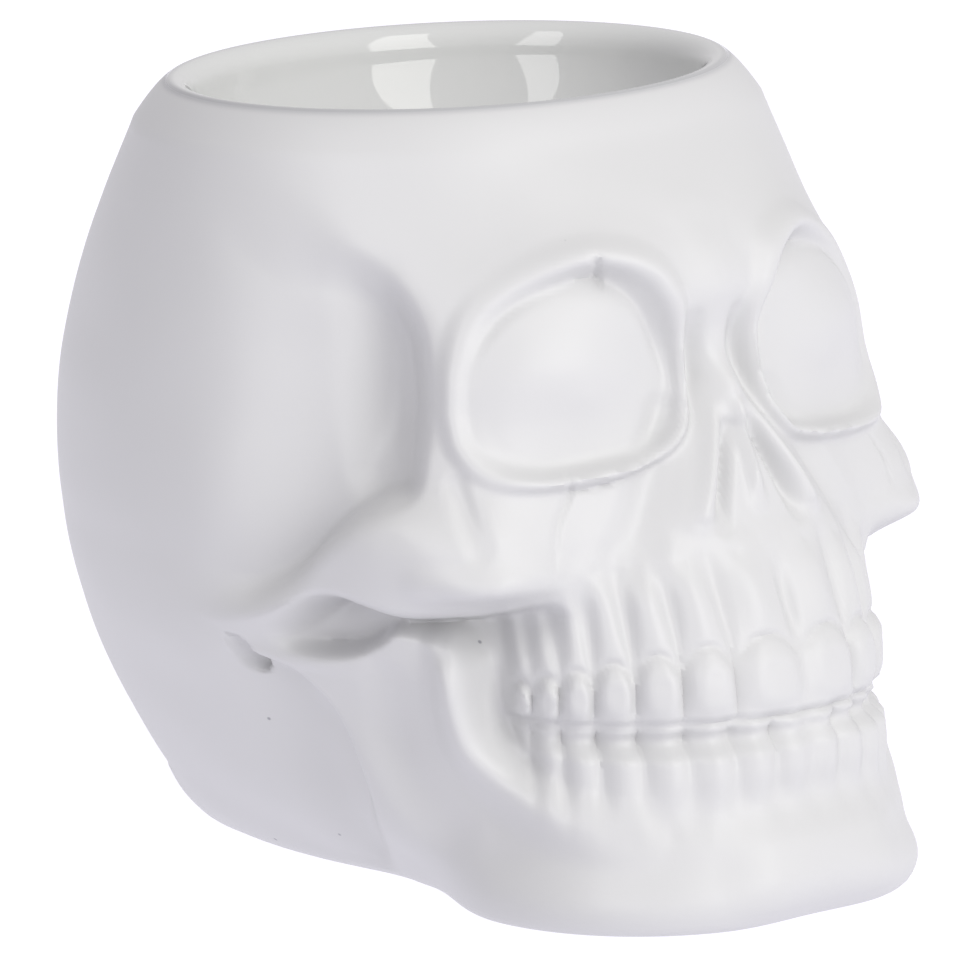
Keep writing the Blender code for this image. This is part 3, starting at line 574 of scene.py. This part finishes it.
class BurnerSizes(bpy.types.PropertyGroup):
    """Sizes of the carving, the dish and the candle chamber."""

    temple_hollow: bpy.props.FloatProperty(
        name="Temple hollow", description="Depth of the hollow behind the eye", default=4.8 * MM,
        min=0.0, unit="LENGTH", precision=5,
    )
    eye_depth: bpy.props.FloatProperty(
        name="Eye depth", description="Depth of the eye sockets", default=3.4 * MM, min=0.0,
        unit="LENGTH", precision=5,
    )
    brow_lift: bpy.props.FloatProperty(
        name="Brow lift", description="Height of the frame round the eye", default=1.9 * MM,
        min=0.0, unit="LENGTH", precision=5,
    )
    nose_lift: bpy.props.FloatProperty(
        name="Nose lift", description="How far the nose's rim stands out", default=2.4 * MM,
        min=0.0, unit="LENGTH", precision=5,
    )
    nostril_depth: bpy.props.FloatProperty(
        name="Nostril depth", description="Depth of the nose's opening", default=2.4 * MM, min=0.0,
        unit="LENGTH", precision=5,
    )
    cheek_hollow: bpy.props.FloatProperty(
        name="Cheek hollow", description="Depth of the hollow below the cheekbone",
        default=6.5 * MM, min=0.0, unit="LENGTH", precision=5,
    )
    arch_lift: bpy.props.FloatProperty(
        name="Arch lift", description="How far the cheekbone's arch stands out", default=2.6 * MM,
        min=0.0, unit="LENGTH", precision=5,
    )
    tooth_lift: bpy.props.FloatProperty(
        name="Tooth lift", description="How far the crowns stand out", default=1.3 * MM, min=0.0,
        unit="LENGTH", precision=5,
    )
    root_lift: bpy.props.FloatProperty(
        name="Root lift", description="Height of the ridges over the roots", default=0.9 * MM,
        min=0.0, unit="LENGTH", precision=5,
    )
    floor: bpy.props.FloatProperty(
        name="Chamber floor", description="Height of the candle's floor", default=9.0 * MM,
        min=0.001, unit="LENGTH", precision=5,
    )
    wall: bpy.props.FloatProperty(
        name="Wall", description="Wall at the sides and back", default=4.5 * MM, min=0.001,
        unit="LENGTH", precision=5,
    )
    face_wall: bpy.props.FloatProperty(
        name="Face wall", description="Wall behind the face", default=10.5 * MM, min=0.001,
        unit="LENGTH", precision=5,
    )
    dish_floor: bpy.props.FloatProperty(
        name="Dish floor", description="Thickness below the dish", default=4.5 * MM, min=0.001,
        unit="LENGTH", precision=5,
    )
    chamber_dome: bpy.props.FloatProperty(
        name="Chamber dome", description="Rise of the chamber's domed top", default=14.0 * MM,
        min=0.001, unit="LENGTH", precision=5,
    )
    door_width: bpy.props.FloatProperty(
        name="Door width", description="Width of the arched opening at the back",
        default=40.0 * MM, min=0.01, unit="LENGTH", precision=5,
    )
    door_height: bpy.props.FloatProperty(
        name="Door height", description="Height of the arched opening", default=44.0 * MM,
        min=0.01, unit="LENGTH", precision=5,
    )
    foot_round: bpy.props.FloatProperty(
        name="Foot rounding", description="Rounding of the foot's edge", default=1.5 * MM,
        min=0.0001, unit="LENGTH", precision=5,
    )
    door_round: bpy.props.FloatProperty(
        name="Door rounding", description="Rounding of the opening's edge", default=1.6 * MM,
        min=0.0001, unit="LENGTH", precision=5,
    )


class BurnerGlaze(bpy.types.PropertyGroup):
    """Colours and gloss of the ceramic."""

    body_colour: bpy.props.FloatVectorProperty(
        name="Body", description="Colour of the satin body", default=(0.57, 0.57, 0.572),
        subtype="COLOR", min=0.0, max=1.0,
    )
    dish_colour: bpy.props.FloatVectorProperty(
        name="Dish", description="Colour of the glossy dish", default=(0.60, 0.605, 0.60),
        subtype="COLOR", min=0.0, max=1.0,
    )
    # Colour of the pinholes, and also of the painted shade line along the dish's lip
    pin_and_lip_shade_colour: bpy.props.FloatVectorProperty(
        name="Pinholes and lip shade", description="Colour in cracks and pinholes", default=(0.30, 0.30, 0.32),
        subtype="COLOR", min=0.0, max=1.0,
    )
    body_roughness: bpy.props.FloatProperty(
        name="Body roughness", description="Roughness of the satin body", default=0.46,
        min=0.0, max=1.0,
    )
    dish_roughness: bpy.props.FloatProperty(
        name="Dish roughness", description="Roughness of the glossy dish", default=0.04,
        min=0.0, max=1.0,
    )
    index: bpy.props.FloatProperty(
        name="Glaze index", description="Refractive index of the glaze", default=1.5,
        min=1.0, max=3.0,
    )


class BurnerStage(bpy.types.PropertyGroup):
    """Camera, light and floor."""

    camera_azimuth: bpy.props.FloatProperty(
        name="Azimuth", description="Camera's turn from straight ahead",
        default=math.radians(-42.5), unit="ROTATION",
    )
    camera_elevation: bpy.props.FloatProperty(
        name="Elevation", description="Camera's height angle", default=math.radians(11.0),
        unit="ROTATION",
    )
    camera_roll: bpy.props.FloatProperty(
        name="Roll", description="Turn of the picture", default=math.radians(1.2), unit="ROTATION"
    )
    camera_distance: bpy.props.FloatProperty(
        name="Distance", description="Camera's distance from what it aims at", default=1.7,
        min=0.1, unit="LENGTH",
    )
    camera_aim: bpy.props.FloatVectorProperty(
        name="Aim", description="Point in the middle of the picture",
        default=(-0.0041, -0.0040, 0.0502), subtype="TRANSLATION",
    )
    camera_lens: bpy.props.FloatProperty(
        name="Lens", description="Focal length in millimetres", default=477.5, min=10.0
    )
    floor_colour: bpy.props.FloatVectorProperty(
        name="Floor", description="Colour of the floor", default=(0.1, 0.1, 0.1), subtype="COLOR",
        min=0.0, max=1.0,
    )
    glow_colour: bpy.props.FloatVectorProperty(
        name="Glow", description="Colour of the light from under the floor",
        default=(0.93, 0.915, 1.0), subtype="COLOR", min=0.0, max=1.0,
    )
    glow_strength: bpy.props.FloatProperty(
        name="Glow strength", description="Light from under the translucent floor", default=1.05,
        min=0.0,
    )
    sky_colour: bpy.props.FloatVectorProperty(
        name="Room", description="Colour of the room's soft light", default=(0.99, 0.975, 1.0),
        subtype="COLOR", min=0.0, max=1.0,
    )
    sky_strength: bpy.props.FloatProperty(
        name="Room strength", description="Strength of the room's soft light", default=0.75, min=0.0
    )


# Rows of the head's grid: height they reach and spacing below it, in table millimetres
ROW_STEPS = ((18.0, 0.85), (64.0, 0.44), (90.0, 0.60), (98.0, 1.1))

# Columns of the head's grid: bearing they reach and spacing before it, in degrees
COLUMN_STEPS = ((62.0, 0.56), (112.0, 1.0), (150.0, 2.4), (171.0, 0.9), (180.0, 1.8))

# Rings of the grid over each part of the head, the chamber and its dome
FOOT_ROWS = 5
LIP_ROWS = 11
INNER_LIP_ROWS = 6
DISH_ROWS = 30
CHAMBER_COLUMNS = 97
CHAMBER_ROWS = 28
DOME_ROWS = 13

# How the rings crowd toward the crest of the lip, and the roundness of the dish and the dome
LIP_CROWDING = 1.5
DISH_CURVE = 0.7
DOME_CURVE = 0.8

# Bearing ahead of which the chamber's wall thickens toward the face, and over how many degrees
THICK_FROM = 105.0
THICK_OVER = 30.0

# Each rounded corner of the arch, as a share of the opening's width just short of half, and its facets
ARCH_CORNER = 0.4999
ARCH_SEGMENTS = 28

# Edges that turn by more than this stay sharp
SHARP_ANGLE = math.radians(60.0)


def stepped(start, steps):
    """Values from start through each reach, as evenly as each spacing allows."""
    values = [start]
    for reach, spacing in steps:
        if reach > values[-1]:
            count = max(1, round((reach - values[-1]) / spacing))
            values += list(np.linspace(values[-1], reach, count + 1)[1:])
    return np.array(values)


def level(bearing, radius, height):
    """One level ring of the head, in metres, from radii and a height in table millimetres."""
    turn = np.radians(bearing)
    ring = np.stack([-radius * np.sin(turn), -radius * np.cos(turn), 0.0 * turn + height], axis=-1)
    return ring * STRETCH


def door_edge(bearing, height, radius, sizes):
    """How far, in table millimetres, the surface sinks at the rounded edge of the arched opening."""
    turn = np.radians(bearing)
    across = np.abs(radius * np.sin(turn)) * STRETCH[0]
    up = height * STRETCH[2]
    half = 0.5 * sizes.door_width
    spring = sizes.floor + sizes.door_height - half
    over = np.hypot(across, np.maximum(up - spring, 0.0)) - half
    beside = np.where(up > spring, over, np.maximum(across - half, sizes.floor - up))
    outside = np.hypot(np.maximum(across - half, 0.0), np.maximum(sizes.floor - up, 0.0))
    away = np.where((up > spring) | (beside < 0.0), beside, outside)
    behind = np.cos(turn) < 0.0
    near = np.clip(1.0 - away / sizes.door_round, 0.0, 1.0)
    sink = sizes.door_round * (1.0 - np.sqrt(1.0 - near * near))
    return np.where(behind, sink, 0.0) / MM


def head_rows(bearing, sizes):
    """Level rows of the head from under its foot, up over the lip and down into the dish."""
    foot = sizes.foot_round / STRETCH[2]
    rows = [level(bearing, 0.0 * bearing, 0.0)]
    for share in np.linspace(0.0, 1.0, FOOT_ROWS):
        inset = foot * (1.0 - math.sin(0.5 * math.pi * share))
        height = foot * (1.0 - math.cos(0.5 * math.pi * share))
        rows.append(level(bearing, head_radius(bearing, 0.0 * bearing + height) - inset, height))
    heights = stepped(foot, ROW_STEPS[:-1] + ((SHOULDER, ROW_STEPS[-1][1]),))[1:]
    all_bearings = np.tile(bearing, len(heights))
    all_heights = np.repeat(heights, len(bearing))
    radius = head_radius(all_bearings, all_heights)
    radius -= door_edge(all_bearings, all_heights, radius, sizes)
    radius += carved_lift(all_bearings, all_heights, sizes)
    for height, radii in zip(heights, radius.reshape(len(heights), -1)):
        rows.append(level(bearing, radii, height))
    for share in np.linspace(0.0, 1.0, LIP_ROWS)[1:]:
        drop = (1.0 - share) ** LIP_CROWDING
        out = LIP_OUT * drop**LIP_CURVE
        rows.append(level(bearing, rim_radius(bearing, out), (HEIGHT - LIP_DROP * drop) / STRETCH[2]))
    for share in np.linspace(0.0, 1.0, INNER_LIP_ROWS)[1:]:
        turned = 0.5 * math.pi * share
        top = (HEIGHT - LIP_IN * (1.0 - math.cos(turned))) / STRETCH[2]
        rows.append(level(bearing, rim_radius(bearing, -LIP_IN * math.sin(turned)), top))
    mouth = rows[-1]
    middle = np.array((0.0, DISH_BACK, 0.0))
    for share in np.linspace(0.0, 1.0, DISH_ROWS)[1:]:
        turned = 0.5 * math.pi * share
        ring = middle + (mouth - middle) * math.cos(turned) ** DISH_CURVE
        ring[:, 2] = HEIGHT - LIP_IN - (DISH_DEPTH - LIP_IN) * math.sin(turned)
        rows.append(ring)
    rows[-1] = np.tile((0.0, DISH_BACK, HEIGHT - DISH_DEPTH), (len(bearing), 1))
    return np.array(rows)


def rolled(rows):
    """A bmesh grid rolled round the axis onto rows of points, and closed at its seam and poles."""
    down, across = rows.shape[0] - 1, rows.shape[1] - 1
    shell = bmesh.new()
    bmesh.ops.create_grid(shell, x_segments=across, y_segments=down, size=0.5)
    for vertex in shell.verts:
        column = round((vertex.co.x + 0.5) * across)
        row = round((vertex.co.y + 0.5) * down)
        vertex.co = rows[row, column]
    bmesh.ops.remove_doubles(shell, verts=shell.verts, dist=1e-6)
    bmesh.ops.recalc_face_normals(shell, faces=shell.faces)
    return shell


def made(name, shell):
    """A new object of that name from a bmesh, which is freed."""
    mesh = bpy.data.meshes.new(name)
    shell.to_mesh(mesh)
    shell.free()
    piece = bpy.data.objects.new(name, mesh)
    bpy.context.scene.collection.objects.link(piece)
    return piece


def chamber_tool(back, sizes):
    """The hollow under the dish, one wall inside the plain head and domed at the top."""
    bearing = np.linspace(-180.0, 180.0, CHAMBER_COLUMNS)
    turned = np.abs(bearing)
    wall = (sizes.wall + (sizes.face_wall - sizes.wall) * smooth((THICK_FROM - turned) / THICK_OVER)) / MM
    floor = sizes.floor / STRETCH[2]
    top = (HEIGHT - DISH_DEPTH - sizes.dish_floor) / STRETCH[2]
    dome = sizes.chamber_dome / STRETCH[2]
    rows = [level(bearing, 0.0 * bearing, floor)]
    for height in np.linspace(floor, top - dome, CHAMBER_ROWS):
        radius = head_radius(turned, 0.0 * turned + height) - wall
        rows.append(level(bearing, radius, height))
    for share in np.linspace(0.0, 1.0, DOME_ROWS)[1:]:
        turn = 0.5 * math.pi * share
        rise = top - dome + dome * math.sin(turn)
        rows.append(level(bearing, radius * max(math.cos(turn), 0.0) ** DOME_CURVE, rise))
    rows[-1] = level(bearing, 0.0 * bearing, top)
    points = np.array(rows)
    points[:, :, 1] += back
    return made("chamber_tool", rolled(points))


def door_tool(back, sizes):
    """The arched way in at the back: a block with its two top edges rounded into one arch."""
    arch = bmesh.new()
    bmesh.ops.create_cube(arch, size=1.0)
    bmesh.ops.scale(arch, verts=arch.verts, vec=(sizes.door_width, DEPTH, sizes.door_height))
    middle = (0.0, 0.5 * (DISH_LENGTH + DEPTH) + back, sizes.floor + 0.5 * sizes.door_height)
    bmesh.ops.translate(arch, verts=arch.verts, vec=middle)
    top = sizes.floor + sizes.door_height - MM
    upper = [edge for edge in arch.edges if all(vertex.co.z > top for vertex in edge.verts)]
    along = [edge for edge in upper if abs(edge.verts[0].co.x - edge.verts[1].co.x) < MM]
    bmesh.ops.bevel(
        arch, geom=along, offset=ARCH_CORNER * sizes.door_width, segments=ARCH_SEGMENTS,
        profile=0.5, affect="EDGES", material=-1,
    )
    bmesh.ops.recalc_face_normals(arch, faces=arch.faces)
    return made("door_tool", arch)


def cut_out(piece, tools):
    """Take the tools' shapes out of the piece, then delete the tools."""
    for tool in tools:
        boolean = piece.modifiers.new(tool.name, "BOOLEAN")
        boolean.operation = "DIFFERENCE"
        boolean.solver = "EXACT"
        boolean.object = tool
    bpy.context.view_layer.update()
    cut = bpy.data.meshes.new_from_object(piece.evaluated_get(bpy.context.evaluated_depsgraph_get()))
    piece.modifiers.clear()
    piece.data = cut
    for tool in tools:
        bpy.data.objects.remove(tool, do_unlink=True)


def node(tree, kind, **settings):
    """A new shader node, with settings by name and inputs by number or name."""
    made_node = tree.nodes.new(kind)
    for key, value in settings.items():
        if key == "inputs":
            for name, content in value.items():
                if isinstance(content, bpy.types.NodeSocket):
                    tree.links.new(content, made_node.inputs[name])
                else:
                    made_node.inputs[name].default_value = content
        else:
            setattr(made_node, key, value)
    return made_node


def reckon(tree, operation, *terms):
    """The output of a Math node on the terms."""
    return node(tree, "ShaderNodeMath", operation=operation, inputs=dict(enumerate(terms))).outputs[0]


def eased(tree, value, start, end, strength=1.0):
    """A smooth rise from 0 at the start to the strength at the end."""
    rise = node(
        tree, "ShaderNodeMapRange", interpolation_type="SMOOTHSTEP",
        inputs={"Value": value, "From Min": start, "From Max": end, "To Min": 0.0, "To Max": strength},
    )
    return rise.outputs[0]


def noise(tree, place, scale, detail):
    """Cloudy values from 0 to 1."""
    cloud = node(tree, "ShaderNodeTexNoise", inputs={"Vector": place, "Scale": scale, "Detail": detail})
    return cloud.outputs["Fac"]


def mixed(tree, share, first, second):
    """The first colour, turning into the second as the share rises."""
    mix = node(
        tree, "ShaderNodeMix", data_type="RGBA", inputs={"Factor": share, "A": first, "B": second}
    )
    return mix.outputs["Result"]


def solid_colour(colour, shade=1.0):
    """A colour with full alpha, darkened by a shade."""
    return tuple(shade * part for part in colour) + (1.0,)


# Edge of the gloss, and the painted shade line along the lip with its half width, as shares of the dish's
# crest
GLOSS_STARTS = 1.03
GLOSS_FULL = 1.0
PAINTED_LIP_SHADE = 1.01
PAINTED_LIP_SHADE_HALF = 0.03
PAINTED_LIP_SHADE_STRENGTH = 0.6

# How far below the dish's bottom its finish may reach
UNDER_DISH = 2.0 * MM

# Patterns in the glaze, in cells or waves per metre with their fineness, and the heights of its bumps
PIN_SCALE = 62.0
PIN_EDGE = 0.024
PIN_HEART = 0.010
CLOUD_SCALE = 45.0
CLOUD_DETAIL = 3.0
CLOUD_SHADE = 0.985
GRAIN_SCALE = 900.0
GRAIN_DETAIL = 2.0
GRAIN_STRENGTH = 0.06
GRAIN_HEIGHT = 0.2 * MM
RIPPLE_SCALE = 60.0
RIPPLE_HEIGHT = 0.4 * MM


def ceramic(glaze, back):
    """White ceramic: satin outside, glossy in the dish, with pinholes, faint unevenness and a painted
    shade line along the lip.
    """
    material = bpy.data.materials.new("white_ceramic")
    material.use_nodes = True
    tree = material.node_tree
    shader = tree.nodes["Principled BSDF"]
    shader.inputs["IOR"].default_value = glaze.index
    place = node(tree, "ShaderNodeTexCoord").outputs["Object"]

    half_width = 0.5 * DISH_WIDTH
    half_length = 0.5 * DISH_LENGTH
    flat = node(
        tree, "ShaderNodeMapping", vector_type="POINT",
        inputs={
            "Vector": place,
            "Location": (0.0, -(DISH_BACK + back) / half_length, 0.0),
            "Scale": (1.0 / half_width, 1.0 / half_length, 0.0),
        },
    )
    length = node(tree, "ShaderNodeVectorMath", operation="LENGTH", inputs={0: flat.outputs[0]})
    out = length.outputs["Value"]
    height = node(tree, "ShaderNodeSeparateXYZ", inputs={0: place}).outputs["Z"]
    above = reckon(tree, "GREATER_THAN", height, HEIGHT - DISH_DEPTH - UNDER_DISH)
    dish = reckon(tree, "MULTIPLY", eased(tree, out, GLOSS_STARTS, GLOSS_FULL), above)
    outside = reckon(tree, "SUBTRACT", 1.0, dish)

    cells = node(
        tree, "ShaderNodeTexVoronoi", feature="F1",
        inputs={"Vector": place, "Scale": PIN_SCALE, "Randomness": 1.0},
    )
    pins = reckon(tree, "MULTIPLY", eased(tree, cells.outputs["Distance"], PIN_EDGE, PIN_HEART), outside)
    # Painted shade: a dark line along the lip's crest, darkening the colour where the lip turns into the
    # dish
    from_lip_shade = reckon(tree, "ABSOLUTE", reckon(tree, "SUBTRACT", out, PAINTED_LIP_SHADE))
    line = reckon(tree, "MULTIPLY", eased(tree, from_lip_shade, PAINTED_LIP_SHADE_HALF, 0.0, PAINTED_LIP_SHADE_STRENGTH), above)
    pins_and_lip_shade = reckon(tree, "MAXIMUM", pins, line)

    cloud = noise(tree, place, CLOUD_SCALE, CLOUD_DETAIL)
    satin = solid_colour(glaze.body_colour)
    tint = mixed(tree, cloud, solid_colour(glaze.body_colour, CLOUD_SHADE), satin)
    colour = mixed(tree, dish, tint, solid_colour(glaze.dish_colour))
    # The pinholes and the painted shade line along the lip take the dark colour
    marked = mixed(tree, pins_and_lip_shade, colour, solid_colour(glaze.pin_and_lip_shade_colour))
    tree.links.new(marked, shader.inputs["Base Color"])

    rough = node(
        tree, "ShaderNodeMapRange",
        inputs={"Value": dish, "To Min": glaze.body_roughness, "To Max": glaze.dish_roughness},
    )
    tree.links.new(rough.outputs[0], shader.inputs["Roughness"])

    ripple = reckon(tree, "MULTIPLY", noise(tree, place, RIPPLE_SCALE, 0.0), dish)
    waves = node(
        tree, "ShaderNodeBump", inputs={"Strength": 1.0, "Distance": RIPPLE_HEIGHT, "Height": ripple}
    )
    grain = reckon(tree, "MULTIPLY", noise(tree, place, GRAIN_SCALE, GRAIN_DETAIL), outside)
    bump = node(
        tree, "ShaderNodeBump",
        inputs={
            "Strength": GRAIN_STRENGTH, "Distance": GRAIN_HEIGHT,
            "Height": reckon(tree, "SUBTRACT", grain, pins), "Normal": waves.outputs[0],
        },
    )
    tree.links.new(bump.outputs[0], shader.inputs["Normal"])
    return material


class SKULLBURNER_OT_head(bpy.types.Operator):
    """Model the ceramic head with its dish, chamber and arched opening"""

    bl_idname = "skull_burner.head"
    bl_label = "Ceramic head"

    def execute(self, context):
        sizes = context.scene.burner_sizes
        half = stepped(0.0, COLUMN_STEPS)
        bearing = np.concatenate([-half[:0:-1], half])
        rows = head_rows(bearing, sizes)
        back = -0.5 * (rows[:, :, 1].min() + rows[:, :, 1].max())
        rows[:, :, 1] += back
        head = made("burner_head", rolled(rows))
        cut_out(head, [chamber_tool(back, sizes), door_tool(back, sizes)])
        head.data.materials.clear()
        head.data.materials.append(ceramic(context.scene.burner_glaze, back))
        head.data.shade_smooth()
        head.data.set_sharp_from_angle(angle=SHARP_ANGLE)
        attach(head, "root")
        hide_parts("skull_burner")
        return {"FINISHED"}


# Studio: the round floor, how far off the softboxes stand, and how far the camera sees, in metres
FLOOR_RADIUS = 6.0
FLOOR_SEGMENTS = 96
FLOOR_ROUGHNESS = 0.9
FLOOR_SPECULAR = 0.1
LAMP_DISTANCE = 1.2
VIEW_REACH = 50.0


def tall_light(name, azimuth, lean, size, power, colour):
    """A tall softbox that stands on the floor, faces the burner and leans to one side."""
    lamp = bpy.data.lights.new(name, "AREA")
    lamp.shape = "RECTANGLE"
    lamp.size, lamp.size_y = size
    lamp.energy = power
    lamp.color = colour
    light = bpy.data.objects.new(name, lamp)
    turn = math.radians(azimuth)
    away = Vector((math.sin(turn), -math.cos(turn), 0.0))
    light.location = LAMP_DISTANCE * away + Vector((0.0, 0.0, 0.5 * size[1]))
    upright = away.to_track_quat("Z", "Y")
    light.rotation_euler = (Quaternion(away, math.radians(lean)) @ upright).to_euler()
    light.visible_camera = False
    bpy.context.scene.collection.objects.link(light)
    return light


class SKULLBURNER_OT_stage(bpy.types.Operator):
    """Set up the pale floor, the soft lights and the camera"""

    bl_idname = "skull_burner.stage"
    bl_label = "Studio"

    def execute(self, context):
        stage = context.scene.burner_stage
        pad = bmesh.new()
        bmesh.ops.create_circle(pad, cap_ends=True, segments=FLOOR_SEGMENTS, radius=FLOOR_RADIUS)
        floor = made("studio_floor", pad)
        paint = bpy.data.materials.new("pale_floor")
        paint.use_nodes = True
        shader = paint.node_tree.nodes["Principled BSDF"]
        shader.inputs["Base Color"].default_value = solid_colour(stage.floor_colour)
        shader.inputs["Roughness"].default_value = FLOOR_ROUGHNESS
        shader.inputs["Specular IOR Level"].default_value = FLOOR_SPECULAR
        shader.inputs["Emission Color"].default_value = solid_colour(stage.glow_colour)
        shader.inputs["Emission Strength"].default_value = stage.glow_strength
        floor.data.materials.append(paint)

        world = bpy.data.worlds.new("studio_room")
        world.use_nodes = True
        sky = world.node_tree.nodes["Background"]
        sky.inputs["Color"].default_value = solid_colour(stage.sky_colour)
        sky.inputs["Strength"].default_value = stage.sky_strength
        context.scene.world = world

        tall_light(
            "right_softbox", azimuth=2.0, lean=-9.0, size=(0.62, 2.7), power=20.5, colour=(1.0, 1.0, 0.96)
        )
        gleam = tall_light(
            "left_gleam", azimuth=-76.0, lean=12.0, size=(0.44, 2.7), power=13.0, colour=(1.0, 1.0, 0.99)
        )
        gleam.visible_diffuse = False

        azimuth = stage.camera_azimuth
        rise = stage.camera_elevation
        reach = math.cos(rise)
        back = Vector((math.sin(azimuth) * reach, -math.cos(azimuth) * reach, math.sin(rise)))
        right = Vector((math.cos(azimuth), math.sin(azimuth), 0.0))
        up = back.cross(right)
        level_right = math.cos(stage.camera_roll) * right - math.sin(stage.camera_roll) * up
        level_up = math.sin(stage.camera_roll) * right + math.cos(stage.camera_roll) * up
        turn = Matrix((level_right, level_up, back)).transposed().to_4x4()
        lens = bpy.data.cameras.new("camera")
        lens.lens = stage.camera_lens
        lens.clip_end = VIEW_REACH
        camera = bpy.data.objects.new("camera", lens)
        place = Vector(stage.camera_aim) + stage.camera_distance * back
        camera.matrix_world = Matrix.Translation(place) @ turn
        context.scene.collection.objects.link(camera)
        context.scene.camera = camera
        context.scene.view_settings.view_transform = "Standard"
        return {"FINISHED"}


class SKULLBURNER_PT_panel(bpy.types.Panel):
    """The burner's operators and settings"""

    bl_idname = "SKULLBURNER_PT_panel"
    bl_label = "Skull oil burner"
    bl_space_type = "VIEW_3D"
    bl_region_type = "UI"
    bl_category = "Oil burner"

    def draw(self, context):
        column = self.layout.column()
        for operator in OPERATORS:
            column.operator(operator.bl_idname)
        scene = context.scene
        shown = {"Sizes": scene.burner_sizes, "Glaze": scene.burner_glaze, "Studio": scene.burner_stage}
        for label, group in shown.items():
            column.label(text=label)
            for name in group.__annotations__:
                column.prop(group, name)


GROUPS = (BurnerSizes, BurnerGlaze, BurnerStage)
OPERATORS = (SKULLBURNER_OT_head, SKULLBURNER_OT_stage)
CLASSES = GROUPS + OPERATORS + (SKULLBURNER_PT_panel,)


def register():
    """Make the settings, operators and panel known to Blender."""
    for item in CLASSES:
        bpy.utils.register_class(item)
    bpy.types.Scene.burner_sizes = bpy.props.PointerProperty(type=BurnerSizes)
    bpy.types.Scene.burner_glaze = bpy.props.PointerProperty(type=BurnerGlaze)
    bpy.types.Scene.burner_stage = bpy.props.PointerProperty(type=BurnerStage)


def unregister():
    """Take them out again."""
    del bpy.types.Scene.burner_stage
    del bpy.types.Scene.burner_glaze
    del bpy.types.Scene.burner_sizes
    for item in reversed(CLASSES):
        bpy.utils.unregister_class(item)


def main():
    """Model the burner and its stage."""
    register()
    bpy.ops.skull_burner.head()
    bpy.ops.skull_burner.stage()


if __name__ == "__main__":
    main()
